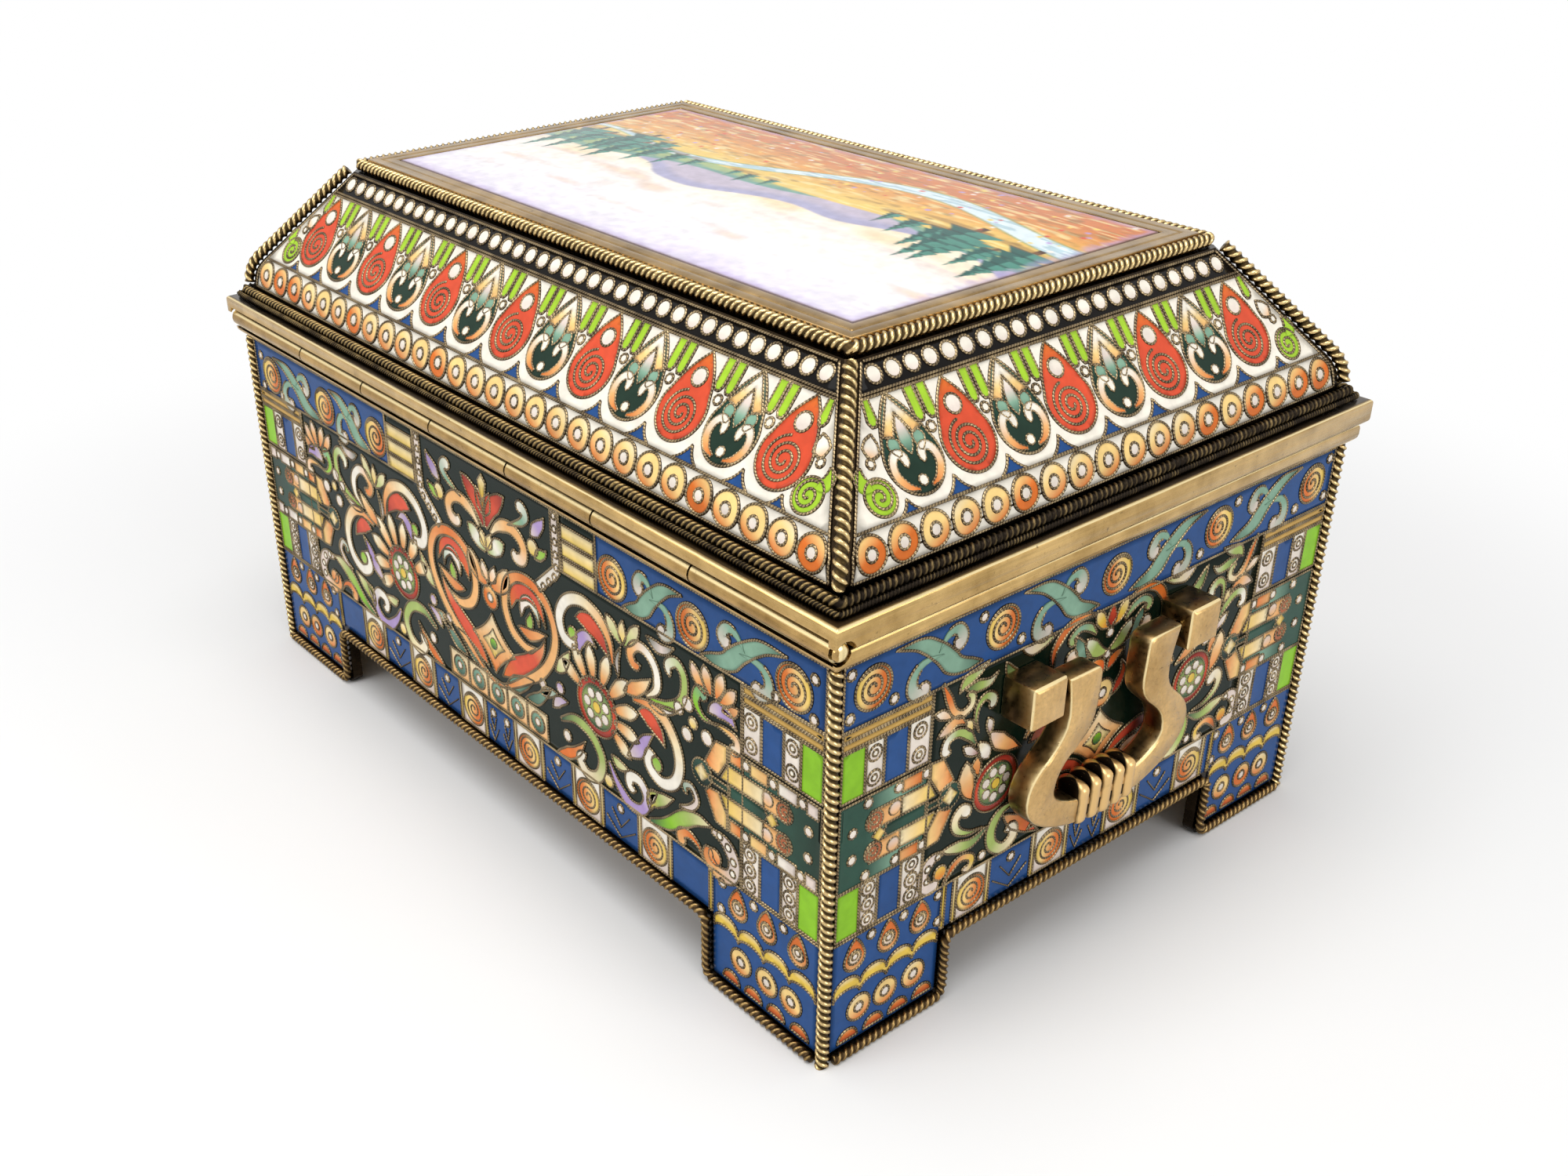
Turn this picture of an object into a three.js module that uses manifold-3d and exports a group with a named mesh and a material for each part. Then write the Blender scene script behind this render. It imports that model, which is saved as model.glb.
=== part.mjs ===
// Cloisonne casket: a box of four mitred plates on bracket feet, a hipped lid under a domed plaque,
// rope-wire borders, a seven-knuckle hinge along the back and two lyre-shaped bail handles.
// Millimetres, +Z up. The origin is the middle of the footprint, on the surface the feet stand on.
// The hinge runs along the +Y side, and the handles hang on the -X and +X ends.
import * as THREE from "three";
import { mergeVertices } from "three/addons/utils/BufferGeometryUtils.js";
import Module from "manifold-3d";

const wasm = await Module();
wasm.setup();

// Box
const BODY_LENGTH = 130; // over the end plates, along X
const BODY_WIDTH = 88; // over the long plates, along Y
const WALL_HEIGHT = 52.6; // wall plates with their feet
const WALL_SHEET = 1.6; // thickness of a wall plate
const LONG_FOOT = 20.6; // width of a foot on a long plate
const SHORT_FOOT = 19.4; // width of a foot on an end plate
const ARCH_HEIGHT = 9; // underside of a plate between its feet
const FOOT_ROUND = 1.6; // radius where a foot turns into the arch and the ground
const FLOOR_SHEET = 1.2; // thickness of the bottom plate
const FLOOR_LIFT = 1; // bottom plate above the arches

// Rope wires, by diameter, and the flats that they are bedded on
const CORNER_ROPE = 1.7;
const EDGE_ROPE = 1.3;
const HIP_ROPE = 1.7;
const TOP_ROPE = 1.8;
const BASE_ROPE = 1.9;
const CORNER_BED = 0.85; // depth of the flat along a wall corner, on the diagonal
const HIP_BED = 0.4; // depth of the flat along a lid hip
const ROPE_END_GAP = 0.3; // between the ends of wires that meet

// Rims at the seam between box and lid
const BODY_RIM_HEIGHT = 2.7;
const BODY_RIM_REACH = 1.4; // beyond the wall plates
const LID_RIM_HEIGHT = 3.1;
const LID_RIM_REACH = 2.1; // beyond the wall plates
const LID_RIM_LIP = 0.4; // inside the lid plates
const RIM_ROUND = 0.6; // radius along the seam
const LID_RIM_SHOULDER = 0.5; // fall of the lid rim's rounded top edge
const SEAM = 0.3; // between the closed rims

// Lid plates: insets are from the wall face, rises from the foot of the plates
const LID_INSET = 1;
const KNEE_INSET = 1.3;
const KNEE_RISE = 4.5; // top of the upright band
const KNEE_ROUND = 2; // length of each half of the knee's curve
const LID_TOP_INSET = 13.2;
const LID_RISE = 19;
const LID_SHEET = 1.4; // thickness of a lid plate
const FLANGE = 4.6; // level turned-in edge that carries the plaque frame

// Plaque and its frame
const FRAME_WIDTH = 3.2; // flat gilt face
const FRAME_HEIGHT = 1.6;
const FRAME_GROOVE = 0.4; // width of the line scribed round the face
const FRAME_GROOVE_DEPTH = 0.25;
const FRAME_LEDGE = 1.3; // rebate under the plaque
const FRAME_LEDGE_HEIGHT = 0.6;
const PLAQUE_SHEET = 0.9;
const PLAQUE_CROWN = 1.2; // rise of the dome
const PLAQUE_PLAY = 0.3; // round the edge of the plaque

// Hinge
const BARREL = 2.5; // outside diameter of a knuckle
const HINGE_PIN = 1; // diameter of the pin
const HINGE_PITCH = 17.65; // length of a middle knuckle with its gap
const KNUCKLE_COUNT = 7; // the end ones belong to the lid
const HINGE_OVERRUN = 0.9; // end knuckles past the end plates
const PIN_HEAD = 2.1; // diameter of the domed pin heads
const PIN_HEAD_RISE = 0.6;
const RUNNING_GAP = 0.3; // between pieces that turn on each other
const HINGE_OPENING = 0.4; // rims open over and under the knuckles

// Handles, in the frame of an end plate: out from the wall, and up from the ground
const PIVOT_HEIGHT = 39.6;
const PIVOT_OUT = 2.8;
const HANDLE_ASIDE = 1.8; // middle of the lugs beside the middle of the end plate
const LUG_SPACING = 22.4; // between the lugs
const LUG_WIDTH = 5.5;
const LUG_HEIGHT = 5.4;
const LUG_REACH = 4.9; // out from the wall
const LUG_ROUND = 0.5;
const PIVOT_PIN = 1; // diameter
const PIN_IN_LUG = 3.5;
const PIN_IN_ARM = 3.4;
const HANDLE_THICKNESS = 3.2;
const HANDLE_SET_OUT = 0.55; // middle of the handle in front of its axis
const HANDLE_LEAN = 2; // degrees towards the wall, as it hangs
const HANDLE_PLAY = 2; // sideways play between the lugs
const ARM_WIDTH = 5.7;
const HEEL = 2; // arm above its axis
const HEEL_ROUND = 1.3; // inner corner of the heel
const WAIST = 0.9; // arm narrower at its neck than at its heel
const NECK_DROP = 3.4; // neck below the axis
const RING_DROP = 13; // widest level of the ring below the axis
const RING_WIDTH = 29.2;
const RING_FALL = 7.4; // underside of the ring below its widest level
const RING_SIDE = 4.7; // width of the ring's band at the sides
const RING_BOTTOM = 3.4; // and under the hand
const HANDLE_EDGE = 0.4; // softened edges of the casting
const RIB_COUNT = 5;
const RIB_PITCH = 2.15;
const RIB_WIDTH = 2;
const RIB_HEIGHT = 6.5; // of the middle rib
const RIB_BELOW = 0.4; // middle rib below the ring's underside
const RIB_STEP = 0.25; // each rib shorter than its inner neighbour
const RIB_PROUD = 0.5; // ribs in front of and behind the ring

// Solder line between plates and mouldings that are joined for good
const SOLDER = 0.05;

// Facets
const ROPE_SIDES = 8;
const CURVE_STEPS = 4;
const CASTING_STEPS = 10; // on the handle's long curves
const TURNED_SIDES = 16;
const RIB_SIDES = 12;
const CAP_STEPS = 3; // on the round ends of the ribs

// Levels and places that follow from the sizes above
const FLAT_SHARE = Math.cos(Math.PI / ROPE_SIDES); // flat of a faceted rope over its radius
const BODY_RIM_BASE = WALL_HEIGHT + SOLDER;
const BODY_RIM_TOP = BODY_RIM_BASE + BODY_RIM_HEIGHT;
const LID_RIM_BASE = BODY_RIM_TOP + SEAM;
const LID_BASE = LID_RIM_BASE + LID_RIM_HEIGHT + SOLDER;
const LID_TOP = LID_BASE + LID_RISE;
const HINGE_Y = BODY_WIDTH / 2 + LID_RIM_REACH - BARREL / 2;
const HINGE_Z = BODY_RIM_TOP + SEAM / 2;
const HINGE_HALF = BODY_LENGTH / 2 + HINGE_OVERRUN;
const TOP_ROPE_INSET = LID_TOP_INSET + TOP_ROPE / 2;
const FRAME_INSET = TOP_ROPE_INSET + (TOP_ROPE / 2) * FLAT_SHARE + SOLDER;
const PLAQUE_INSET = FRAME_INSET + FRAME_WIDTH + PLAQUE_PLAY;

// Finishes
const GILT = new THREE.MeshStandardMaterial({ color: "#b8955a", roughness: 0.32, metalness: 1 });
const ROPE_GILT = new THREE.MeshStandardMaterial({ color: "#9a7a45", roughness: 0.38, metalness: 1 });
const DARK_GILT = new THREE.MeshStandardMaterial({ color: "#4a3c28", roughness: 0.5, metalness: 1 });
const BLUE_ENAMEL = new THREE.MeshStandardMaterial({ color: "#2a55a0", roughness: 0.18, metalness: 0 });
const WHITE_ENAMEL = new THREE.MeshStandardMaterial({ color: "#f5eee6", roughness: 0.15, metalness: 0 });

// Solid operations on closed meshes

function toSolid(geometry) {
  const bare = geometry.clone();
  bare.deleteAttribute("normal");
  bare.deleteAttribute("uv");
  const merged = mergeVertices(bare);
  const vertProperties = new Float32Array(merged.attributes.position.array);
  const triVerts = new Uint32Array(merged.index.array);
  return new wasm.Manifold(new wasm.Mesh({ numProp: 3, vertProperties, triVerts }));
}

function toGeometry(solid) {
  const mesh = solid.getMesh();
  const geometry = new THREE.BufferGeometry();
  geometry.setAttribute("position", new THREE.BufferAttribute(mesh.vertProperties, 3));
  geometry.setIndex(new THREE.BufferAttribute(mesh.triVerts, 1));
  return geometry;
}

function cut(body, ...tools) {
  const start = toSolid(body);
  return toGeometry(tools.reduce((solid, tool) => solid.subtract(toSolid(tool)), start));
}

function join(body, ...additions) {
  const start = toSolid(body);
  return toGeometry(additions.reduce((solid, added) => solid.add(toSolid(added)), start));
}

function common(body, keep) {
  return toGeometry(toSolid(body).intersect(toSolid(keep)));
}

// Section outlines are drawn as (inset from the wall face, height), and ring faces need them
// counter-clockwise
function sectionPoints(section) {
  const points = section.getPoints(CURVE_STEPS);
  if (points[0].distanceTo(points[points.length - 1]) < 1e-6) points.pop();
  return THREE.ShapeUtils.isClockWise(points) ? points.reverse() : points;
}

// A section carried round the rectangle of the walls, mitred at its four corners
function ringGeometry(section) {
  const points = sectionPoints(section);
  const corners = [[1, 1], [-1, 1], [-1, -1], [1, -1]];
  const vertices = corners.flatMap(([sx, sy]) =>
    points.flatMap((p) => [sx * (BODY_LENGTH / 2 - p.x), sy * (BODY_WIDTH / 2 - p.x), p.y]));
  return quadMesh(vertices, corners.length, points.length, true);
}

// Rows of section points joined by quads: closed rings, or an open run with flat ends
function quadMesh(vertices, rows, columns, closed) {
  const index = [];
  const lastRow = closed ? rows : rows - 1;
  for (let row = 0; row < lastRow; row += 1) {
    const next = (row + 1) % rows;
    for (let column = 0; column < columns; column += 1) {
      const beside = (column + 1) % columns;
      const a = row * columns + column;
      const b = row * columns + beside;
      const c = next * columns + beside;
      const d = next * columns + column;
      index.push(a, b, c, a, c, d);
    }
  }
  if (!closed) {
    const end = (rows - 1) * columns;
    for (let column = 1; column < columns - 1; column += 1) {
      index.push(0, column + 1, column);
      index.push(end, end + column, end + column + 1);
    }
  }
  const geometry = new THREE.BufferGeometry();
  geometry.setAttribute("position", new THREE.Float32BufferAttribute(vertices, 3));
  geometry.setIndex(index);
  return geometry;
}

// A faceted wire along a flat path, mitred where the path turns; `normal` is square to the path
function ropeGeometry(path, normal, diameter) {
  const vertices = [];
  path.forEach((point, i) => {
    const before = path[Math.max(i - 1, 0)];
    const after = path[Math.min(i + 1, path.length - 1)];
    const arriving = (i > 0 ? point.clone().sub(before) : after.clone().sub(point)).normalize();
    const leaving = (i < path.length - 1 ? after.clone().sub(point) : arriving.clone()).normalize();
    const sideIn = normal.clone().cross(arriving);
    const sideOut = normal.clone().cross(leaving);
    const mitre = sideIn.clone().add(sideOut).divideScalar(1 + sideIn.dot(sideOut));
    for (let k = 0; k < ROPE_SIDES; k += 1) {
      const angle = ((k + 0.5) / ROPE_SIDES) * Math.PI * 2;
      const vertex = point.clone()
        .addScaledVector(mitre, (diameter / 2) * Math.cos(angle))
        .addScaledVector(normal, (diameter / 2) * Math.sin(angle));
      vertices.push(vertex.x, vertex.y, vertex.z);
    }
  });
  return quadMesh(vertices, path.length, ROPE_SIDES, false);
}

function ropeSection(diameter, inset, height) {
  const section = new THREE.Shape();
  for (let k = 0; k < ROPE_SIDES; k += 1) {
    const angle = ((k + 0.5) / ROPE_SIDES) * Math.PI * 2;
    const x = inset + (diameter / 2) * Math.cos(angle);
    const y = height + (diameter / 2) * Math.sin(angle);
    if (k === 0) section.moveTo(x, y);
    else section.lineTo(x, y);
  }
  return section;
}

function extrude(shape, depth, bevel = 0, steps = CURVE_STEPS) {
  return new THREE.ExtrudeGeometry(shape, {
    depth: depth - 2 * bevel,
    bevelEnabled: bevel > 0,
    bevelThickness: bevel,
    bevelSize: bevel,
    bevelOffset: -bevel,
    bevelSegments: 2,
    curveSegments: steps,
  }).translate(0, 0, bevel);
}

// An outline drawn as (along, up), stood upright with its thickness running inwards from y = 0
function upright(shape, thickness, bevel = 0, steps = CURVE_STEPS) {
  return extrude(shape, thickness, bevel, steps).rotateX(Math.PI / 2);
}

function cylinder(diameter, length, sides = TURNED_SIDES) {
  return new THREE.CylinderGeometry(diameter / 2, diameter / 2, length, sides).rotateZ(Math.PI / 2);
}

function place(name, geometry, material, parent) {
  const mesh = new THREE.Mesh(geometry, material);
  mesh.name = name;
  parent.add(mesh);
  return mesh;
}

// The four sides in turn, each a group whose +Y points out of the box through that side
const SIDES = [
  { name: "back", turn: 0, length: BODY_LENGTH, reach: BODY_WIDTH / 2, foot: LONG_FOOT },
  { name: "left", turn: 1, length: BODY_WIDTH, reach: BODY_LENGTH / 2, foot: SHORT_FOOT },
  { name: "front", turn: 2, length: BODY_LENGTH, reach: BODY_WIDTH / 2, foot: LONG_FOOT },
  { name: "right", turn: 3, length: BODY_WIDTH, reach: BODY_LENGTH / 2, foot: SHORT_FOOT },
];

// The four corners in turn, each a group whose +X points out along the diagonal
const CORNERS = [
  { name: "back_right", x: 1, y: 1, turn: 0.5 },
  { name: "back_left", x: -1, y: 1, turn: 1.5 },
  { name: "front_left", x: -1, y: -1, turn: 2.5 },
  { name: "front_right", x: 1, y: -1, turn: 3.5 },
];

function sideGroup(side, parent) {
  const turned = new THREE.Group();
  turned.rotation.z = (side.turn * Math.PI) / 2;
  const group = new THREE.Group();
  group.position.y = side.reach;
  turned.add(group);
  parent.add(turned);
  return group;
}

function cornerGroup(corner, parent) {
  const group = new THREE.Group();
  group.position.set((corner.x * BODY_LENGTH) / 2, (corner.y * BODY_WIDTH) / 2, 0);
  group.rotation.z = (corner.turn * Math.PI) / 2;
  parent.add(group);
  return group;
}

// Box

function wallOutline(length, foot) {
  const half = length / 2;
  const arch = half - foot;
  const outline = new THREE.Shape();
  outline.moveTo(-half, 0);
  outline.lineTo(-arch - FOOT_ROUND, 0);
  outline.absarc(-arch - FOOT_ROUND, FOOT_ROUND, FOOT_ROUND, -Math.PI / 2, 0, false);
  outline.absarc(-arch + FOOT_ROUND, ARCH_HEIGHT - FOOT_ROUND, FOOT_ROUND, Math.PI, Math.PI / 2, true);
  outline.absarc(arch - FOOT_ROUND, ARCH_HEIGHT - FOOT_ROUND, FOOT_ROUND, Math.PI / 2, 0, true);
  outline.absarc(arch + FOOT_ROUND, FOOT_ROUND, FOOT_ROUND, Math.PI, Math.PI * 1.5, false);
  outline.lineTo(half, 0);
  outline.lineTo(half, WALL_HEIGHT);
  outline.lineTo(-half, WALL_HEIGHT);
  return outline;
}

// Seen from above: mitred ends, with the outer corner taken off as a bed for the corner rope
function wallPlan(length) {
  const half = length / 2;
  const bed = CORNER_BED * Math.SQRT2;
  const plan = new THREE.Shape();
  plan.moveTo(half - bed, 0);
  plan.lineTo(half - bed / 2 - SOLDER, -bed / 2);
  plan.lineTo(half - WALL_SHEET - SOLDER, -WALL_SHEET);
  plan.lineTo(-half + WALL_SHEET + SOLDER, -WALL_SHEET);
  plan.lineTo(-half + bed / 2 + SOLDER, -bed / 2);
  plan.lineTo(-half + bed, 0);
  return plan;
}

function wallPlate(side) {
  const plate = upright(wallOutline(side.length, side.foot), WALL_SHEET);
  return common(plate, extrude(wallPlan(side.length), WALL_HEIGHT));
}

const CORNER_ROPE_INSET = (CORNER_BED - (CORNER_ROPE / 2) * FLAT_SHARE - SOLDER) / Math.SQRT2;

function edgeRope(side) {
  const half = side.length / 2;
  const arch = half - side.foot;
  const r = EDGE_ROPE / 2;
  const end = half - CORNER_ROPE_INSET - CORNER_ROPE / 2 - ROPE_END_GAP;
  const route = new THREE.Path();
  route.moveTo(-end, r);
  route.lineTo(-arch - FOOT_ROUND, r);
  route.absarc(-arch - FOOT_ROUND, FOOT_ROUND, FOOT_ROUND - r, -Math.PI / 2, 0, false);
  route.absarc(-arch + FOOT_ROUND, ARCH_HEIGHT - FOOT_ROUND, FOOT_ROUND + r, Math.PI, Math.PI / 2, true);
  route.absarc(arch - FOOT_ROUND, ARCH_HEIGHT - FOOT_ROUND, FOOT_ROUND + r, Math.PI / 2, 0, true);
  route.absarc(arch + FOOT_ROUND, FOOT_ROUND, FOOT_ROUND - r, Math.PI, Math.PI * 1.5, false);
  route.lineTo(end, r);
  const out = r * FLAT_SHARE + SOLDER;
  const path = route.getPoints(CURVE_STEPS / 2).map((p) => new THREE.Vector3(p.x, out, p.y));
  return ropeGeometry(path, new THREE.Vector3(0, 1, 0), EDGE_ROPE);
}

function floorPlate() {
  const inset = WALL_SHEET + SOLDER;
  const length = BODY_LENGTH - 2 * inset;
  const width = BODY_WIDTH - 2 * inset;
  const base = ARCH_HEIGHT + FLOOR_LIFT;
  return new THREE.BoxGeometry(length, width, FLOOR_SHEET).translate(0, 0, base + FLOOR_SHEET / 2);
}

function cornerRope() {
  const up = [new THREE.Vector3(0, 0, 0), new THREE.Vector3(0, 0, WALL_HEIGHT)];
  return ropeGeometry(up, new THREE.Vector3(1, 0, 0), CORNER_ROPE);
}

// The rims, grooved along the back for the hinge and open outside it between their corners
function cutForHinge(rim) {
  const through = BODY_LENGTH + 4 * LID_RIM_REACH;
  const groove = cylinder(BARREL + 2 * RUNNING_GAP, through).translate(0, HINGE_Y, HINGE_Z);
  const opening = new THREE.BoxGeometry(2 * HINGE_HALF, 2 * LID_RIM_REACH, BARREL + 2 * HINGE_OPENING)
    .translate(0, HINGE_Y + LID_RIM_REACH, HINGE_Z);
  return cut(cut(rim, groove), opening);
}

function bodyRim() {
  const section = new THREE.Shape();
  const reach = -BODY_RIM_REACH;
  section.moveTo(WALL_SHEET, BODY_RIM_BASE);
  section.lineTo(WALL_SHEET, BODY_RIM_TOP);
  section.lineTo(reach + RIM_ROUND, BODY_RIM_TOP);
  section.quadraticCurveTo(reach, BODY_RIM_TOP, reach, BODY_RIM_TOP - RIM_ROUND);
  section.lineTo(reach, BODY_RIM_BASE + BODY_RIM_HEIGHT / 2);
  section.quadraticCurveTo(reach, BODY_RIM_BASE + BODY_RIM_HEIGHT / 6, 0, BODY_RIM_BASE);
  return cutForHinge(ringGeometry(section));
}

function lidRim() {
  const section = new THREE.Shape();
  const reach = -LID_RIM_REACH;
  const inner = LID_INSET + LID_SHEET + LID_RIM_LIP;
  const top = LID_RIM_BASE + LID_RIM_HEIGHT;
  section.moveTo(inner, LID_RIM_BASE);
  section.lineTo(inner, top);
  section.lineTo(reach + LID_RIM_SHOULDER, top);
  section.quadraticCurveTo(reach, top - LID_RIM_SHOULDER / 4, reach, top - LID_RIM_SHOULDER);
  section.lineTo(reach, LID_RIM_BASE + RIM_ROUND);
  section.quadraticCurveTo(reach, LID_RIM_BASE, reach + RIM_ROUND, LID_RIM_BASE);
  return cutForHinge(ringGeometry(section));
}

// Lid

// The outer line of a lid plate from a height on its band to a distance short of the slope's top
function lidLine(line, startHeight, shortOfTop) {
  const foot = new THREE.Vector2(LID_INSET, 0);
  const knee = new THREE.Vector2(KNEE_INSET, KNEE_RISE);
  const top = new THREE.Vector2(LID_TOP_INSET, LID_RISE);
  const start = foot.clone().lerp(knee, startHeight / KNEE_RISE);
  const below = knee.clone().lerp(foot, KNEE_ROUND / knee.distanceTo(foot));
  const above = knee.clone().lerp(top, KNEE_ROUND / knee.distanceTo(top));
  const stop = top.clone().lerp(knee, shortOfTop / knee.distanceTo(top));
  line.moveTo(start.x, start.y);
  line.lineTo(below.x, below.y);
  line.quadraticCurveTo(knee.x, knee.y, above.x, above.y);
  line.lineTo(stop.x, stop.y);
  return line;
}

function lidSection() {
  const slopeLean = (LID_TOP_INSET - KNEE_INSET) / (LID_RISE - KNEE_RISE);
  const bandLean = (KNEE_INSET - LID_INSET) / KNEE_RISE;
  const slopeShift = LID_SHEET * Math.hypot(slopeLean, 1);
  const bandShift = LID_SHEET * Math.hypot(bandLean, 1);
  const innerKnee = KNEE_RISE + (bandShift - slopeShift) / (slopeLean - bandLean);
  const underFlange = LID_RISE - LID_SHEET;
  const section = lidLine(new THREE.Shape(), 0, 0);
  section.lineTo(LID_TOP_INSET + FLANGE, LID_RISE);
  section.lineTo(LID_TOP_INSET + FLANGE, underFlange);
  section.lineTo(KNEE_INSET + slopeShift + (underFlange - KNEE_RISE) * slopeLean, underFlange);
  section.lineTo(LID_INSET + bandShift + innerKnee * bandLean, innerKnee);
  section.lineTo(LID_INSET + bandShift, 0);
  return section;
}

// Points of a line in the upright plane through a corner's diagonal, moved square to the line
function hipLine(startHeight, shortOfTop, offset) {
  const flat = lidLine(new THREE.Path(), startHeight, shortOfTop).getPoints(CURVE_STEPS);
  const hip = flat.map((p) => new THREE.Vector2(-p.x * Math.SQRT2, p.y));
  return hip.map((p, i) => {
    const ahead = hip[Math.min(i + 1, hip.length - 1)];
    const behind = hip[Math.max(i - 1, 0)];
    const along = ahead.clone().sub(behind).normalize();
    return new THREE.Vector2(p.x + along.y * offset, p.y - along.x * offset);
  });
}

// What is taken off a plate's end so that the hip rope lies on a flat
function hipBed() {
  const clear = HIP_ROPE;
  const bed = hipLine(-clear, -clear, -HIP_BED);
  const air = hipLine(-clear, -clear, clear).reverse();
  return extrude(new THREE.Shape([...bed, ...air]), 4 * clear).translate(0, 0, -2 * clear)
    .rotateX(Math.PI / 2);
}

function lidPlate(side) {
  const plate = new THREE.ExtrudeGeometry(lidSection(), {
    depth: 1,
    bevelEnabled: false,
    curveSegments: CURVE_STEPS,
  });
  const position = plate.attributes.position;
  for (let i = 0; i < position.count; i += 1) {
    const inset = position.getX(i);
    const along = (0.5 - position.getZ(i)) * (side.length - 2 * (inset + SOLDER));
    position.setXYZ(i, along, -inset, position.getY(i));
  }
  const right = hipBed().rotateZ(Math.PI / 4).translate(side.length / 2, 0, 0);
  const left = hipBed().rotateZ((3 * Math.PI) / 4).translate(-side.length / 2, 0, 0);
  return cut(plate, right, left);
}

function hipRope() {
  const lift = (HIP_ROPE / 2) * FLAT_SHARE + SOLDER - HIP_BED;
  const path = hipLine(BASE_ROPE + ROPE_END_GAP, ROPE_END_GAP, lift)
    .map((p) => new THREE.Vector3(p.x, 0, p.y));
  return ropeGeometry(path, new THREE.Vector3(0, 1, 0), HIP_ROPE);
}

function baseRope() {
  const r = (BASE_ROPE / 2) * FLAT_SHARE;
  return ringGeometry(ropeSection(BASE_ROPE, LID_INSET - r - SOLDER, LID_BASE + r));
}

function topRope() {
  const r = (TOP_ROPE / 2) * FLAT_SHARE;
  return ringGeometry(ropeSection(TOP_ROPE, TOP_ROPE_INSET, LID_TOP + SOLDER + r));
}

function plaqueFrame() {
  const base = LID_TOP + SOLDER;
  const top = base + FRAME_HEIGHT;
  const inner = FRAME_INSET + FRAME_WIDTH;
  const middle = FRAME_INSET + FRAME_WIDTH / 2;
  const section = new THREE.Shape();
  section.moveTo(FRAME_INSET, base);
  section.lineTo(inner + FRAME_LEDGE, base);
  section.lineTo(inner + FRAME_LEDGE, base + FRAME_LEDGE_HEIGHT);
  section.lineTo(inner, base + FRAME_LEDGE_HEIGHT);
  section.lineTo(inner, top);
  section.lineTo(middle + FRAME_GROOVE / 2, top);
  section.lineTo(middle, top - FRAME_GROOVE_DEPTH);
  section.lineTo(middle - FRAME_GROOVE / 2, top);
  section.lineTo(FRAME_INSET, top);
  return ringGeometry(section);
}

// A plate of even thickness, domed in both directions
function plaque() {
  const length = BODY_LENGTH - 2 * PLAQUE_INSET;
  const width = BODY_WIDTH - 2 * PLAQUE_INSET;
  const base = LID_TOP + SOLDER + FRAME_LEDGE_HEIGHT + SOLDER;
  const plate = new THREE.BoxGeometry(length, width, PLAQUE_SHEET, 12, 8, 1);
  const position = plate.attributes.position;
  for (let i = 0; i < position.count; i += 1) {
    const u = position.getX(i) / (length / 2);
    const v = position.getY(i) / (width / 2);
    const dome = PLAQUE_CROWN * (1 - u ** 4) * (1 - v ** 2);
    position.setZ(i, position.getZ(i) + base + PLAQUE_SHEET / 2 + dome);
  }
  return plate;
}

// Hinge

function knuckle(start, end) {
  const bore = HINGE_PIN / 2 + RUNNING_GAP;
  const tube = [
    new THREE.Vector2(bore, start),
    new THREE.Vector2(BARREL / 2, start),
    new THREE.Vector2(BARREL / 2, end),
    new THREE.Vector2(bore, end),
    new THREE.Vector2(bore, start),
  ];
  return new THREE.LatheGeometry(tube, TURNED_SIDES).rotateZ(-Math.PI / 2);
}

function hingePin() {
  const shank = HINGE_HALF + RUNNING_GAP;
  const outline = new THREE.Path();
  outline.moveTo(0, -shank - PIN_HEAD_RISE);
  outline.quadraticCurveTo(PIN_HEAD / 2, -shank - PIN_HEAD_RISE, PIN_HEAD / 2, -shank);
  outline.lineTo(HINGE_PIN / 2, -shank);
  outline.lineTo(HINGE_PIN / 2, shank);
  outline.lineTo(PIN_HEAD / 2, shank);
  outline.quadraticCurveTo(PIN_HEAD / 2, shank + PIN_HEAD_RISE, 0, shank + PIN_HEAD_RISE);
  return new THREE.LatheGeometry(outline.getPoints(CURVE_STEPS), TURNED_SIDES).rotateZ(-Math.PI / 2);
}

// Handles

const ARM_OUTER = (LUG_SPACING - HANDLE_PLAY) / 2 - RUNNING_GAP;

function lug() {
  const block = new THREE.Shape();
  const w = LUG_WIDTH / 2;
  const h = LUG_HEIGHT / 2;
  block.moveTo(-w, -h);
  block.lineTo(w, -h);
  block.lineTo(w, h);
  block.lineTo(-w, h);
  const full = extrude(block, LUG_REACH + LUG_ROUND, LUG_ROUND).rotateX(-Math.PI / 2);
  const outside = new THREE.BoxGeometry(2 * LUG_WIDTH, 2 * LUG_REACH, 2 * LUG_HEIGHT)
    .translate(0, LUG_REACH + LUG_ROUND, 0);
  return common(full, outside).translate(0, SOLDER - LUG_ROUND, 0);
}

// The lug on one side of the handle, bored from the handle's side
function boredLug(hand) {
  const block = lug().translate(hand * (LUG_SPACING + LUG_WIDTH) / 2, 0, PIVOT_HEIGHT);
  const bore = cylinder(PIVOT_PIN + 4 * SOLDER, 2 * (PIN_IN_LUG + SOLDER))
    .translate((hand * LUG_SPACING) / 2, PIVOT_OUT, PIVOT_HEIGHT);
  return cut(block, bore);
}

function pivotPin(hand) {
  const inner = hand * (ARM_OUTER - PIN_IN_ARM) + HANDLE_PLAY / 2;
  const outer = hand * (LUG_SPACING / 2 + PIN_IN_LUG);
  return cylinder(PIVOT_PIN, Math.abs(outer - inner))
    .translate((inner + outer) / 2, PIVOT_OUT, PIVOT_HEIGHT);
}

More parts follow.
